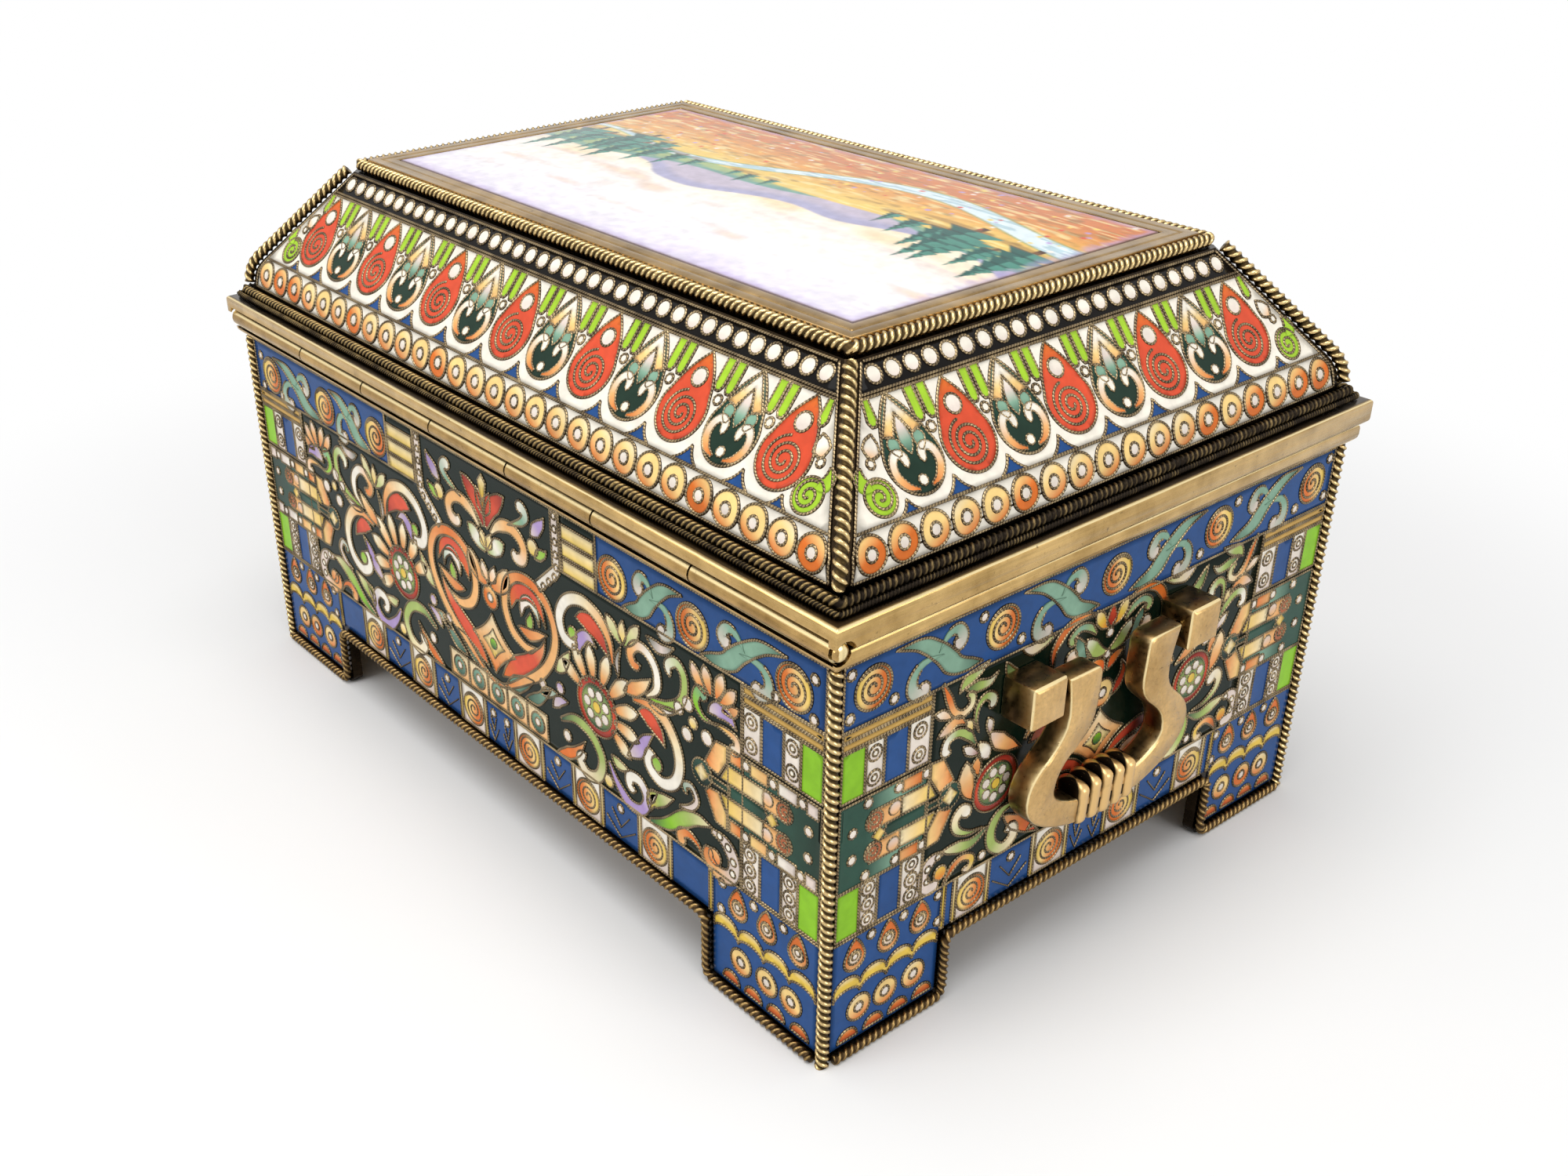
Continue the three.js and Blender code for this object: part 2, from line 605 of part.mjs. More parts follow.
// A lyre: arms narrowed at the neck, drawn out in an S to the ring's widest level, and its lower half
function handleOutline() {
  const armInner = ARM_OUTER - ARM_WIDTH;
  const neck = ARM_OUTER - WAIST;
  const outer = RING_WIDTH / 2;
  const inner = outer - RING_SIDE;
  const bend = (RING_DROP - NECK_DROP) / 2;
  const half = HEEL + NECK_DROP / 2;
  const outline = new THREE.Shape();
  outline.moveTo(-armInner - HEEL_ROUND, HEEL);
  outline.lineTo(-ARM_OUTER, HEEL);
  outline.quadraticCurveTo(-neck, HEEL - half, -neck, -NECK_DROP);
  outline.bezierCurveTo(-neck, -NECK_DROP - bend, -outer, -RING_DROP + bend, -outer, -RING_DROP);
  outline.absellipse(0, -RING_DROP, outer, RING_FALL, Math.PI, Math.PI * 2, false);
  outline.bezierCurveTo(outer, -RING_DROP + bend, neck, -NECK_DROP - bend, neck, -NECK_DROP);
  outline.quadraticCurveTo(neck, HEEL - half, ARM_OUTER, HEEL);
  outline.lineTo(armInner + HEEL_ROUND, HEEL);
  outline.quadraticCurveTo(armInner, HEEL, armInner, HEEL - HEEL_ROUND);
  outline.lineTo(armInner, -NECK_DROP);
  outline.bezierCurveTo(armInner, -NECK_DROP - bend, inner, -RING_DROP + bend, inner, -RING_DROP);
  outline.absellipse(0, -RING_DROP, inner, RING_FALL - RING_BOTTOM, 0, Math.PI, true);
  outline.bezierCurveTo(-inner, -RING_DROP + bend, -armInner, -NECK_DROP - bend, -armInner, -NECK_DROP);
  outline.lineTo(-armInner, HEEL - HEEL_ROUND);
  outline.quadraticCurveTo(-armInner, HEEL, -armInner - HEEL_ROUND, HEEL);
  return outline;
}

function gripRibs() {
  const middle = (RIB_COUNT - 1) / 2;
  const level = -RING_DROP - RING_FALL - RIB_BELOW + RIB_HEIGHT / 2;
  const wide = RIB_WIDTH / 2;
  const deep = HANDLE_THICKNESS / 2 + RIB_PROUD;
  return Array.from({ length: RIB_COUNT }, (_, i) => {
    const height = RIB_HEIGHT - RIB_STEP * Math.abs(i - middle);
    return new THREE.CapsuleGeometry(1, height / wide - 2, CAP_STEPS, RIB_SIDES)
      .scale(wide, wide, deep)
      .rotateX(Math.PI / 2)
      .translate((i - middle) * RIB_PITCH, 0, level);
  });
}

function handle() {
  const casting = upright(handleOutline(), HANDLE_THICKNESS, HANDLE_EDGE, CASTING_STEPS)
    .translate(0, HANDLE_THICKNESS / 2, 0);
  const ribbed = join(casting, ...gripRibs()).translate(0, HANDLE_SET_OUT, 0);
  const bores = [-1, 1].map((hand) =>
    cylinder(PIVOT_PIN + 2 * RUNNING_GAP, 2 * (PIN_IN_ARM + RUNNING_GAP)).translate(hand * ARM_OUTER, 0, 0));
  return cut(ribbed, ...bores);
}

// Assembly

const casket = new THREE.Group();

const box = new THREE.Group();
casket.add(box);
place("floor", floorPlate(), GILT, box);
place("body_rim", bodyRim(), GILT, box);

const lid = new THREE.Group();
casket.add(lid);
place("lid_rim", lidRim(), GILT, lid);
place("base_rope", baseRope(), DARK_GILT, lid);
place("top_rope", topRope(), ROPE_GILT, lid);
place("plaque_frame", plaqueFrame(), GILT, lid);
place("plaque", plaque(), WHITE_ENAMEL, lid);

for (const side of SIDES) {
  const wall = sideGroup(side, box);
  place(`wall_${side.name}`, wallPlate(side), BLUE_ENAMEL, wall);
  place(`edge_rope_${side.name}`, edgeRope(side), ROPE_GILT, wall);
  const slope = sideGroup(side, lid);
  slope.position.z = LID_BASE;
  place(`lid_${side.name}`, lidPlate(side), WHITE_ENAMEL, slope);
}

for (const corner of CORNERS) {
  const post = cornerGroup(corner, box);
  const rope = place(`corner_rope_${corner.name}`, cornerRope(), ROPE_GILT, post);
  rope.position.x = -CORNER_ROPE_INSET * Math.SQRT2;
  const hip = cornerGroup(corner, lid);
  hip.position.z = LID_BASE;
  place(`hip_rope_${corner.name}`, hipRope(), ROPE_GILT, hip);
}

const hinge = new THREE.Group();
hinge.position.set(0, HINGE_Y, HINGE_Z);
casket.add(hinge);
place("hinge_pin", hingePin(), GILT, hinge);
for (let i = 0; i < KNUCKLE_COUNT; i += 1) {
  const middle = i - (KNUCKLE_COUNT - 1) / 2;
  const start = i === 0 ? -HINGE_HALF : (middle - 0.5) * HINGE_PITCH + RUNNING_GAP / 2;
  const end = i === KNUCKLE_COUNT - 1 ? HINGE_HALF : (middle + 0.5) * HINGE_PITCH - RUNNING_GAP / 2;
  place(`knuckle_${i + 1}`, knuckle(start, end), GILT, hinge);
}

for (const side of SIDES.filter((s) => s.name === "left" || s.name === "right")) {
  const end = sideGroup(side, casket);
  end.position.x = HANDLE_ASIDE;
  for (const [hand, mark] of [[1, "a"], [-1, "b"]]) {
    place(`lug_${side.name}_${mark}`, boredLug(hand), GILT, end);
    place(`pivot_pin_${side.name}_${mark}`, pivotPin(hand), GILT, end);
  }
  const bail = new THREE.Group();
  bail.position.set(HANDLE_PLAY / 2, PIVOT_OUT, PIVOT_HEIGHT);
  bail.rotation.x = THREE.MathUtils.degToRad(-HANDLE_LEAN);
  end.add(bail);
  place(`handle_${side.name}`, handle(), GILT, bail);
}

export default casket;
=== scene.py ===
"""Cloisonne casket: enamel cells, twisted wires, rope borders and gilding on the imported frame."""
import logging
import math
import re
from dataclasses import dataclass, field
from enum import Enum
from functools import lru_cache
from typing import Sequence

import bpy
import numpy as np
from mathutils import Matrix, Vector
from mathutils.geometry import delaunay_2d_cdt


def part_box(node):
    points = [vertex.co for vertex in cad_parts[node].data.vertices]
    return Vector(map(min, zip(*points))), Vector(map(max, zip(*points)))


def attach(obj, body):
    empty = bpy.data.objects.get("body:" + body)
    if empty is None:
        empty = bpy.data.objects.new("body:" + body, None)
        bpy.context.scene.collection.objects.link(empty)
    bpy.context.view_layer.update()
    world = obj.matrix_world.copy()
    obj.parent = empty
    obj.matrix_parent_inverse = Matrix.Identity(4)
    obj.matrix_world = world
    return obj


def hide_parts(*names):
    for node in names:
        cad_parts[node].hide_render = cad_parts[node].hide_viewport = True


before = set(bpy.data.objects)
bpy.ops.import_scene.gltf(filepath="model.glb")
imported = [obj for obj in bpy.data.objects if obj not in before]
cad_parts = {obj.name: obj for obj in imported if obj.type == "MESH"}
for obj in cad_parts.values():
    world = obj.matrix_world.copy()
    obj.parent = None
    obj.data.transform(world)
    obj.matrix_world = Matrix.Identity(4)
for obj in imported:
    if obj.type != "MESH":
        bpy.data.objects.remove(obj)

LOG = logging.getLogger("casket")
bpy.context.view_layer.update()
MM = 0.001
UP = np.array([0.0, 0.0, 1.0])
TINY = 1e-9
MAP_ROW = 64
WELD_GAP = 0.001
Points = np.ndarray


def linear(code: str) -> tuple[float, float, float, float]:
    """Turns an sRGB hex value into linear colour.

    Args:
        code: six hex digits after a hash.

    Returns:
        Red, green, blue and an alpha of one.
    """
    parts = [int(code[i:i + 2], 16) / 255 for i in (1, 3, 5)]
    rgb = [c / 12.92 if c <= 0.04045 else ((c + 0.055) / 1.055) ** 2.4 for c in parts]
    return (rgb[0], rgb[1], rgb[2], 1.0)


class Enamel(Enum):
    """The enameller's colours, as sRGB."""

    WHITE = "#F5EEDF"
    SHELL = "#E4D3C8"
    CREAM = "#F4E2B8"
    OCHRE = "#CFA65A"
    YELLOW = "#E9C552"
    APRICOT = "#F9D58A"
    PEACH = "#F0B574"
    ORANGE = "#DE742F"
    RED = "#DB5437"
    SIENNA = "#AC6440"
    WINE = "#8E2A22"
    LIME = "#A6CF38"
    GREEN = "#8CC42A"
    LEAF = "#A8BC66"
    SAGE = "#86AC94"
    PINE = "#2F5244"
    MOSS = "#22362B"
    FOREST = "#0D1D14"
    BLUE = "#264E87"
    LAVENDER = "#AF96C8"
    BLACK = "#120F0D"


E = Enamel
PAINT = {colour: np.array(linear(colour.value)[:3]) for colour in Enamel}


@dataclass(frozen=True)
class Tint:
    """Shaded enamel: colours that run into each other along one direction of a cell."""

    stops: tuple[Enamel, ...]
    along: tuple[float, float] = (0.0, 1.0)

    def at(self, t: Points) -> Points:
        """Blends the stops.

        Args:
            t: places along the shading, from 0 to 1.

        Returns:
            One linear colour per place.
        """
        table = np.array([PAINT[s] for s in self.stops])
        if len(table) == 1:
            return np.repeat(table, len(t), axis=0)
        marks = np.linspace(0, 1, len(table))
        return np.stack([np.interp(t, marks, table[:, c]) for c in range(3)], 1)

    def over(self, points: Points) -> Points:
        """Colours for points of a cell, shaded from one end of it to the other."""
        reach = points @ np.array(self.along)
        return self.at((reach - reach.min()) / max(float(np.ptp(reach)), 1e-6))


def tint(*stops: Enamel, along: tuple[float, float] = (0.0, 1.0)) -> Tint:
    """A tint from its stops."""
    return Tint(tuple(stops), along)


class Taper(Enum):
    """How a scroll's width runs from its start to its end: pairs of place and share."""

    LEAF = ((0, 0), (0.12, 0.5), (0.35, 1), (0.7, 0.7), (1, 0))
    PETAL = ((0, 0.25), (0.3, 0.75), (0.62, 1), (0.85, 0.62), (1, 0))
    COMMA = ((0, 0), (0.3, 0.42), (0.75, 0.9), (0.9, 1), (0.97, 0.7), (1, 0))
    VOLUTE = ((0, 0.25), (0.25, 0.8), (0.55, 0.75), (0.88, 0.8), (0.96, 0.6), (1, 0))
    BAND = ((0, 1), (1, 1))

    def widths(self, count: int) -> Points:
        """Shares of the full width at evenly spaced places."""
        pairs = np.array(self.value)
        return np.interp(np.linspace(0, 1, count), pairs[:, 0], pairs[:, 1])


def run_of(line: Points) -> Points:
    """The distance run at each point of a line."""
    return np.concatenate([[0], np.cumsum(np.linalg.norm(np.diff(line, axis=0), axis=1))])


def tangents(line: Points, closed: bool = False) -> Points:
    """Unit directions along a line, whose last point may join its first."""
    ahead = np.roll(line, -1, axis=0) - np.roll(line, 1, axis=0) if closed else np.gradient(line, axis=0)
    return ahead / (np.linalg.norm(ahead, axis=1)[:, None] + TINY)


def leftward(line: Points, closed: bool = False) -> Points:
    """Unit directions to the left of a flat line."""
    ahead = tangents(line, closed)
    return np.stack([-ahead[:, 1], ahead[:, 0]], 1)


def bend(start: Points, pull: Points, end: Points, count: int, last: bool = True) -> Points:
    """Points of a curve that bends towards a third place between two, with its last one or without."""
    t = np.linspace(0, 1, count, endpoint=last)[:, None]
    return start * (1 - t) ** 2 + 2 * pull * t * (1 - t) + end * t ** 2


def ring(a: float, b: float, radius: float, count: int = 0) -> Points:
    """Points round a circle, against the clock, about 0.3 mm apart unless they are counted."""
    t = np.linspace(0, 2 * math.pi, count or max(14, int(radius * 2 * math.pi / 0.3)), endpoint=False)
    return np.array([a, b]) + radius * np.stack([np.cos(t), np.sin(t)], 1)


def spiral(a: float, b: float, radius: float, turns: float, start: float, core: float = 0.12) -> Points:
    """Points of a spiral wound inwards.

    Args:
        a: middle, to the right.
        b: middle, upwards.
        radius: outer radius.
        turns: turns against the clock; negative ones run with it.
        start: direction of the outer end in degrees.
        core: share of the radius left in the middle.

    Returns:
        Points from the outer end to the middle.
    """
    t = np.linspace(0, 1, max(16, int(abs(turns) * radius * 4 / 0.3)))
    angle = math.radians(start) + t * turns * 2 * math.pi
    reach = radius * (1 - t * (1 - core))
    return np.array([a, b]) + reach[:, None] * np.stack([np.cos(angle), np.sin(angle)], 1)


def drop(a: float, b: float, width: float, height: float) -> Points:
    """A teardrop outline with a round foot and slightly bowed sides up to its point.

    Args:
        a: its middle line.
        b: height of its foot.
        width: its widest.
        height: from foot to point.

    Returns:
        The outline, against the clock.
    """
    radius = width / 2
    lean = math.asin(radius / (height - radius))
    t = np.linspace(math.pi - lean, 2 * math.pi + lean, 26)
    foot = np.stack([a + radius * np.cos(t), b + radius + radius * np.sin(t)], 1)
    share = np.linspace(0, 1, 9)[1:, None]
    bow = 0.05 * width * np.sin(np.pi * share)
    point = np.array([a, b + height])
    right = foot[-1] + (point - foot[-1]) * share + bow * np.array([1.0, 0.4])
    left = foot[0] + (point - foot[0]) * share[::-1] + bow[::-1] * np.array([-1.0, 0.4])
    return np.concatenate([foot, right, left[1:]])


def box(a0: float, b0: float, a1: float, b1: float) -> Points:
    """A rectangle's corners, against the clock."""
    return np.array([[a0, b0], [a1, b0], [a1, b1], [a0, b1]], float)


def along(points: Points, step: float, closed: bool = False) -> Points:
    """The same line with points about one step apart.

    Args:
        points: line of two or more points.
        step: spacing in mm.
        closed: whether the last point joins the first.

    Returns:
        Evenly spaced points; a closed line doesn't repeat its first.
    """
    line = np.concatenate([points, points[:1]]) if closed else points
    gaps = np.linalg.norm(np.diff(line, axis=0), axis=1)
    line = line[np.concatenate([[True], gaps > 1e-6])]
    run = run_of(line)
    count = max(4, int(round(run[-1] / step)))
    marks = np.linspace(0, run[-1], count + 1)[:count if closed else None]
    return np.stack([np.interp(marks, run, line[:, k]) for k in range(line.shape[1])], 1)


def smooth(points: Points, step: float = 0.25) -> Points:
    """A flowing line through points.

    Args:
        points: the points, in order.
        step: spacing of the line's own points in mm.

    Returns:
        Evenly spaced points along it.
    """
    ends = np.concatenate([[2 * points[0] - points[1]], points, [2 * points[-1] - points[-2]]])
    t = np.linspace(0, 1, 8, endpoint=False)[:, None]
    parts = []
    for i in range(len(points) - 1):
        p, q, r, s = ends[i:i + 4]
        turn = 2 * p - 5 * q + 4 * r - s
        parts.append(0.5 * (2 * q + (r - p) * t + turn * t ** 2 + (3 * q - p - 3 * r + s) * t ** 3))
    return along(np.concatenate(parts + [points[-1:]]), step)


def rounded(corners: Points, radius: float, closed: bool) -> Points:
    """A line with its corners rounded.

    Args:
        corners: the line's corners.
        radius: distance from each corner at which its curve starts.
        closed: whether the last corner joins the first.

    Returns:
        Points along the rounded line.
    """
    count = len(corners)
    made = []
    for i, here in enumerate(corners):
        if not closed and i in (0, count - 1):
            made.append(here[None])
            continue
        p, q = (here + (there - here) * min(0.5, radius / np.linalg.norm(there - here))
                for there in (corners[i - 1], corners[(i + 1) % count]))
        made.append(bend(p, here, q, 7))
    return np.concatenate(made)


def inside(outline: Points, points: Points) -> Points:
    """Which points lie in a closed outline.

    Args:
        outline: its corners.
        points: places to test.

    Returns:
        One truth value per point.
    """
    x, y = points[:, :1], points[:, 1:]
    x0, y0 = outline.T
    x1, y1 = np.roll(x0, -1), np.roll(y0, -1)
    crossing = (y0 > y) != (y1 > y)
    slope = (x1 - x0) / np.where(y1 == y0, TINY, y1 - y0)
    return (crossing & (x < slope * (y - y0) + x0)).sum(1) % 2 == 1


class Side(Enum):
    """The casket's sides, by quarter turns from the hinge side."""

    BACK = 0
    LEFT = 1
    FRONT = 2
    RIGHT = 3

    @property
    def label(self) -> str:
        """The side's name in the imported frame."""
        return self.name.lower()

    @property
    def out(self) -> Points:
        """Direction out of the casket."""
        return np.array([(0, 1, 0), (-1, 0, 0), (0, -1, 0), (1, 0, 0)][self.value], float)

    @property
    def right(self) -> Points:
        """Direction to the right of a viewer who faces this side."""
        return np.array([(-1, 0, 0), (0, -1, 0), (1, 0, 0), (0, 1, 0)][self.value], float)

    @property
    def long(self) -> bool:
        """Whether this is one of the two long sides."""
        return self.value % 2 == 0


@lru_cache(maxsize=None)
def box_of(node: str) -> tuple[Points, Points]:
    """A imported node's lowest and highest corners, in mm."""
    low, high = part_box(node)
    return np.array(low) / MM, np.array(high) / MM


@lru_cache(maxsize=None)
def wall_reach(side: Side) -> float:
    """How far a side's wall reaches out, in mm."""
    return float((np.array(box_of(f"wall_{side.label}")) @ side.out).max())


def half_length(side: Side) -> float:
    """Half the length of a side's wall, in mm."""
    return wall_reach(Side((side.value + 1) % 4))


@dataclass(frozen=True)
class WallFace:
    """The flat outer face of a wall plate; places are (right, up) in mm."""

    side: Side

    def at(self, a: Points, b: Points, h: Points) -> Points:
        """Places at a height over the face, in mm of the casket's frame."""
        out = wall_reach(self.side) + h
        return a[:, None] * self.side.right + b[:, None] * UP + out[:, None] * self.side.out


@dataclass(frozen=True)
class LidFace:
    """The outer face of a lid plate; places are (right, distance up the bent face) in mm."""

    side: Side
    foot: tuple[float, float] = (1.0, 0.0)
    knee: tuple[float, float] = (1.3, 4.5)
    top: tuple[float, float] = (13.2, 19.0)
    knee_round: float = 2.0

    @lru_cache(maxsize=None)
    def profile(self) -> tuple[Points, Points]:
        """The face's line from foot to top.

        Returns:
            Its points as (inset, rise), and the distance run at each.
        """
        foot, knee, top = (np.array(p) for p in (self.foot, self.knee, self.top))
        below = knee + (foot - knee) * self.knee_round / np.linalg.norm(foot - knee)
        above = knee + (top - knee) * self.knee_round / np.linalg.norm(top - knee)
        line = np.concatenate([[foot], bend(below, knee, above, 9), [top]])
        return line, run_of(line)

    def at(self, a: Points, b: Points, h: Points) -> Points:
        """Places at a height over the face.

        Args:
            a: distances to the right.
            b: distances up the face.
            h: heights over it.

        Returns:
            Places in mm of the casket's frame.
        """
        line, run = self.profile()
        columns = np.concatenate([line, np.gradient(line, run, axis=0)], 1).T
        inset, rise, lean, climb = (np.interp(b, run, column) for column in columns)
        outward = wall_reach(self.side) - inset + h * climb
        height = box_of(f"lid_{self.side.label}")[0][2] + rise + h * lean
        return a[:, None] * self.side.right + outward[:, None] * self.side.out + height[:, None] * UP

    def half(self, b: float) -> float:
        """Half the plate's length at a distance up the face."""
        line, run = self.profile()
        return half_length(self.side) - float(np.interp(b, run, line[:, 0]))


Face = WallFace | LidFace


@dataclass
class Cloth:
    """Vertices, faces and per-vertex values that grow into one mesh."""

    points: list[Points] = field(default_factory=list)
    faces: list[list[int]] = field(default_factory=list)
    values: list[Points] = field(default_factory=list)
    maps: list[Points] = field(default_factory=list)
    count: int = 0

    def add(self, points: Points, faces: Sequence[Sequence[int]], values: Points, maps: Points) -> None:
        """Adds one shell.

        Args:
            points: its vertices.
            faces: its faces, by its own vertices.
            values: a colour or number per vertex.
            maps: map places per corner of each face, in order.
        """
        self.points.append(points)
        self.faces.extend([[i + self.count for i in f] for f in faces])
        self.values.append(values)
        self.maps.append(maps)
        self.count += len(points)


def piece(name: str, cloth: Cloth, material: bpy.types.Material, body: str) -> bpy.types.Object:
    """Makes one object from gathered shells.

    Args:
        name: the piece's name.
        cloth: its shells, in mm.
        material: its finish.
        body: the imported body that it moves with.

    Returns:
        The new object.
    """
    points = np.concatenate(cloth.points) * MM
    values = np.concatenate(cloth.values)
    mesh = bpy.data.meshes.new(name)
    mesh.from_pydata(points.tolist(), [], cloth.faces)
    mesh.shade_smooth()
    if values.ndim == 1:
        crest = mesh.attributes.new("crest", "FLOAT", "POINT")
        crest.data.foreach_set("value", values.astype(np.float32))
    else:
        paint = mesh.color_attributes.new("enamel", "FLOAT_COLOR", "POINT")
        rgba = np.concatenate([values, np.ones((len(values), 1))], 1)
        paint.data.foreach_set("color", rgba.astype(np.float32).ravel())
    layer = mesh.uv_layers.new(name="OFBake")
    layer.uv.foreach_set("vector", np.concatenate(cloth.maps).astype(np.float32).ravel())
    mesh.materials.append(material)
    made = bpy.data.objects.new(name, mesh)
    bpy.context.scene.collection.objects.link(made)
    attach(made, body)
    LOG.info("%s: %d vertices on %s", name, len(points), body)
    return made


@dataclass
class Sheet:
    """Enamel cells and wires, drawn on one face as its viewer sees them."""

    face: Face
    extent: tuple[float, float, float, float]
    seed: int
    hand: int = 1
    fine: float = 1.0
    layers: int = 5
    first_lift: float = 0.03
    layer_lift: float = 0.035
    wall_foot: float = -0.01
    meniscus: float = 0.05
    # share of colour left in the enamel beside its wires: painted shade and dirt
    shade_and_soil: float = 0.62
    firing: float = 0.03
    wire_width: float = 0.44
    wire_height: float = 0.27
    wire_step: float = 0.15
    crest_spacing: float = 0.45
    pinch: float = 0.2
    dip: float = 0.38

    def __post_init__(self) -> None:
        """Starts with nothing drawn."""
        self.cells = Cloth()
        self.wires: list[tuple[Points, bool, float]] = []
        self.random = np.random.default_rng(self.seed)

    def place(self, points: Points) -> Points:
        """Points as drawn, or turned over for the mirrored half."""
        return points * np.array([self.hand, 1.0])

    def cell(self, drawn: Points, faces: list[list[int]], rim: list[int], colours: Points, layer: int,
             shaded_and_soiled: list[int]) -> None:
        """Adds one enamel cell with its edge walls.

        Args:
            drawn: places in the cell.
            faces: faces against the clock, by those places.
            rim: the places round the edge, against the clock, where the enamel climbs its wire.
            colours: a linear colour per place.
            layer: how high the cell lies among those under it.
            shaded_and_soiled: places beside a wire darkened with painted shade and dirt.
        """
        count, feet = len(drawn), list(range(len(drawn), len(drawn) + len(rim)))
        walls = [list(wall) for wall in zip(rim, feet, feet[1:] + feet[:1], rim[1:] + rim[:1])]
        every = faces + walls
        if self.hand < 0:
            every = [f[::-1] for f in every]
        rise = np.full(count, self.first_lift + layer * self.layer_lift)
        rise[rim] += self.meniscus
        # painted shade and dirt along the wires
        colours[shaded_and_soiled] *= self.shade_and_soil
        fired = colours * self.random.normal(1.0, self.firing)
        paint = np.clip(np.concatenate([fired, fired[rim]]), 0, 1)
        flat = self.place(np.concatenate([drawn, drawn[rim]]))
        heights = np.concatenate([rise, np.full(len(rim), self.wall_foot)])
        solid = self.face.at(flat[:, 0], flat[:, 1], heights)
        self.cells.add(solid, every, paint, self.map_places(flat, every, layer))

    def map_places(self, flat: Points, faces: list[list[int]], layer: int) -> Points:
        """Map places for the corners of faces: the drawing itself, one tile for each layer.

        Args:
            flat: places on the face.
            faces: faces by those places.
            layer: the layer that they are in.

        Returns:
            One place per corner.
        """
        a0, b0, a1, b1 = self.extent
        unit = (flat - np.array([a0, b0])) / np.array([a1 - a0, b1 - b0])
        tile = min(layer, self.layers - 1)
        unit[:, 1] = (np.clip(unit[:, 1], 0, 1) * 0.98 + 0.01 + tile) / self.layers
        return unit[[i for f in faces for i in f]]

    def disc(self, a: float, b: float, radius: float, shade: Tint, layer: int = 1) -> None:
        """A round cell in a ring of wire.

        Args:
            a: middle, to the right.
            b: middle, upwards.
            radius: radius in mm.
            shade: its colours.
            layer: its layer.
        """
        count = max(12, int(radius * 2 * math.pi / 0.4))
        unit = ring(0, 0, 1, count)
        flat = np.concatenate([[[a, b]], *[np.array([a, b]) + unit * radius * s for s in (0.5, 0.82, 1.0)]])
        faces = [[0, 1 + i, 1 + (i + 1) % count] for i in range(count)]
        for p, q in ((1, 1 + count), (1 + count, 1 + 2 * count)):
            for i in range(count):
                j = (i + 1) % count
                faces.append([p + i, q + i, q + j, p + j])
        rim = list(range(1 + 2 * count, 1 + 3 * count))
        self.cell(flat, faces, rim, shade.over(flat), layer, rim)
        self.wire(ring(a, b, radius), True)

    def patch(self, outline: Points, shade: Tint, layer: int = 0, wired: bool = True,
              grain: float = 0.9) -> None:
        """A cell of any outline.

        Args:
            outline: its corners, in either sense.
            shade: its colours.
            layer: its layer.
            wired: whether a wire runs round it.
            grain: spacing of the points inside it, in mm.
        """
        area = np.cross(outline, np.roll(outline, -1, axis=0)).sum()
        corners = outline if area > 0 else outline[::-1]
        if len(corners) < 12:
            runs = []
            for p, q in zip(corners, np.roll(corners, -1, axis=0)):
                parts = max(1, int(np.linalg.norm(q - p) / grain))
                runs.append(p + (q - p) * np.arange(parts)[:, None] / parts)
            edge = np.concatenate(runs)
        else:
            edge = along(corners, grain, True)
        marks = [np.arange(low + grain / 2, high, grain) for low, high in zip(edge.min(0), edge.max(0))]
        grid = np.stack(np.meshgrid(*marks), -1).reshape(-1, 2)
        if len(grid):
            grid = grid[inside(edge, grid)]
            gap = np.linalg.norm(grid[:, None] - edge[None], axis=2).min(1)
            grid = grid[gap > grain * 0.45]
        count = len(edge)
        links = [(i, (i + 1) % count) for i in range(count)]
        found = delaunay_2d_cdt([Vector(p) for p in np.concatenate([edge, grid])], links, [], 1, 1e-6)
        flat = np.array([tuple(v) for v in found[0]])
        source = {old: new for new, olds in enumerate(found[3]) for old in olds}
        rim = [source[i] for i in range(count)]
        faces = [list(f) for f in found[2]]
        self.cell(flat, faces, rim, shade.over(flat), layer, rim if len(grid) else [])
        if wired:
            self.wire(outline, True)

    def scroll(self, line: Points, width: float, taper: Taper, shade: Tint, layer: int = 1,
               joined: float = 0.0) -> None:
        """A cell that follows a line, shaded along it.

        Args:
            line: its middle line.
            width: its full width in mm.
            taper: how the width runs along it.
            shade: its colours from start to end.
            layer: its layer.
            joined: share of its start that runs into another cell, without a wire between them.
        """
        count = len(line)
        across = leftward(line) * taper.widths(count)[:, None] * width / 2
        shares = (-1.0, -0.6, 0.0, 0.6, 1.0)
        flat = np.concatenate([line + across * s for s in shares])
        faces = []
        for k in range(len(shares) - 1):
            for p in range(k * count, (k + 1) * count - 1):
                faces.append([p, p + 1, p + count + 1, p + count])
        right, left = list(range(count)), list(range(4 * count, 5 * count))
        ends = [k * count for k in (3, 2, 1)]
        tips = [k * count + count - 1 for k in (1, 2, 3)]
        colours = np.tile(shade.at(np.linspace(0, 1, count)), (len(shares), 1))
        self.cell(flat, faces, right + tips + left[::-1] + ends, colours, layer, right + left)
        free = int(joined * count)
        self.wire(np.concatenate([flat[right][free:], flat[left][free:][::-1]]), not free)

    def wire(self, line: Points, closed: bool = False) -> None:
        """A twisted wire along a line."""
        self.wires.append((self.place(line), closed, self.fine))

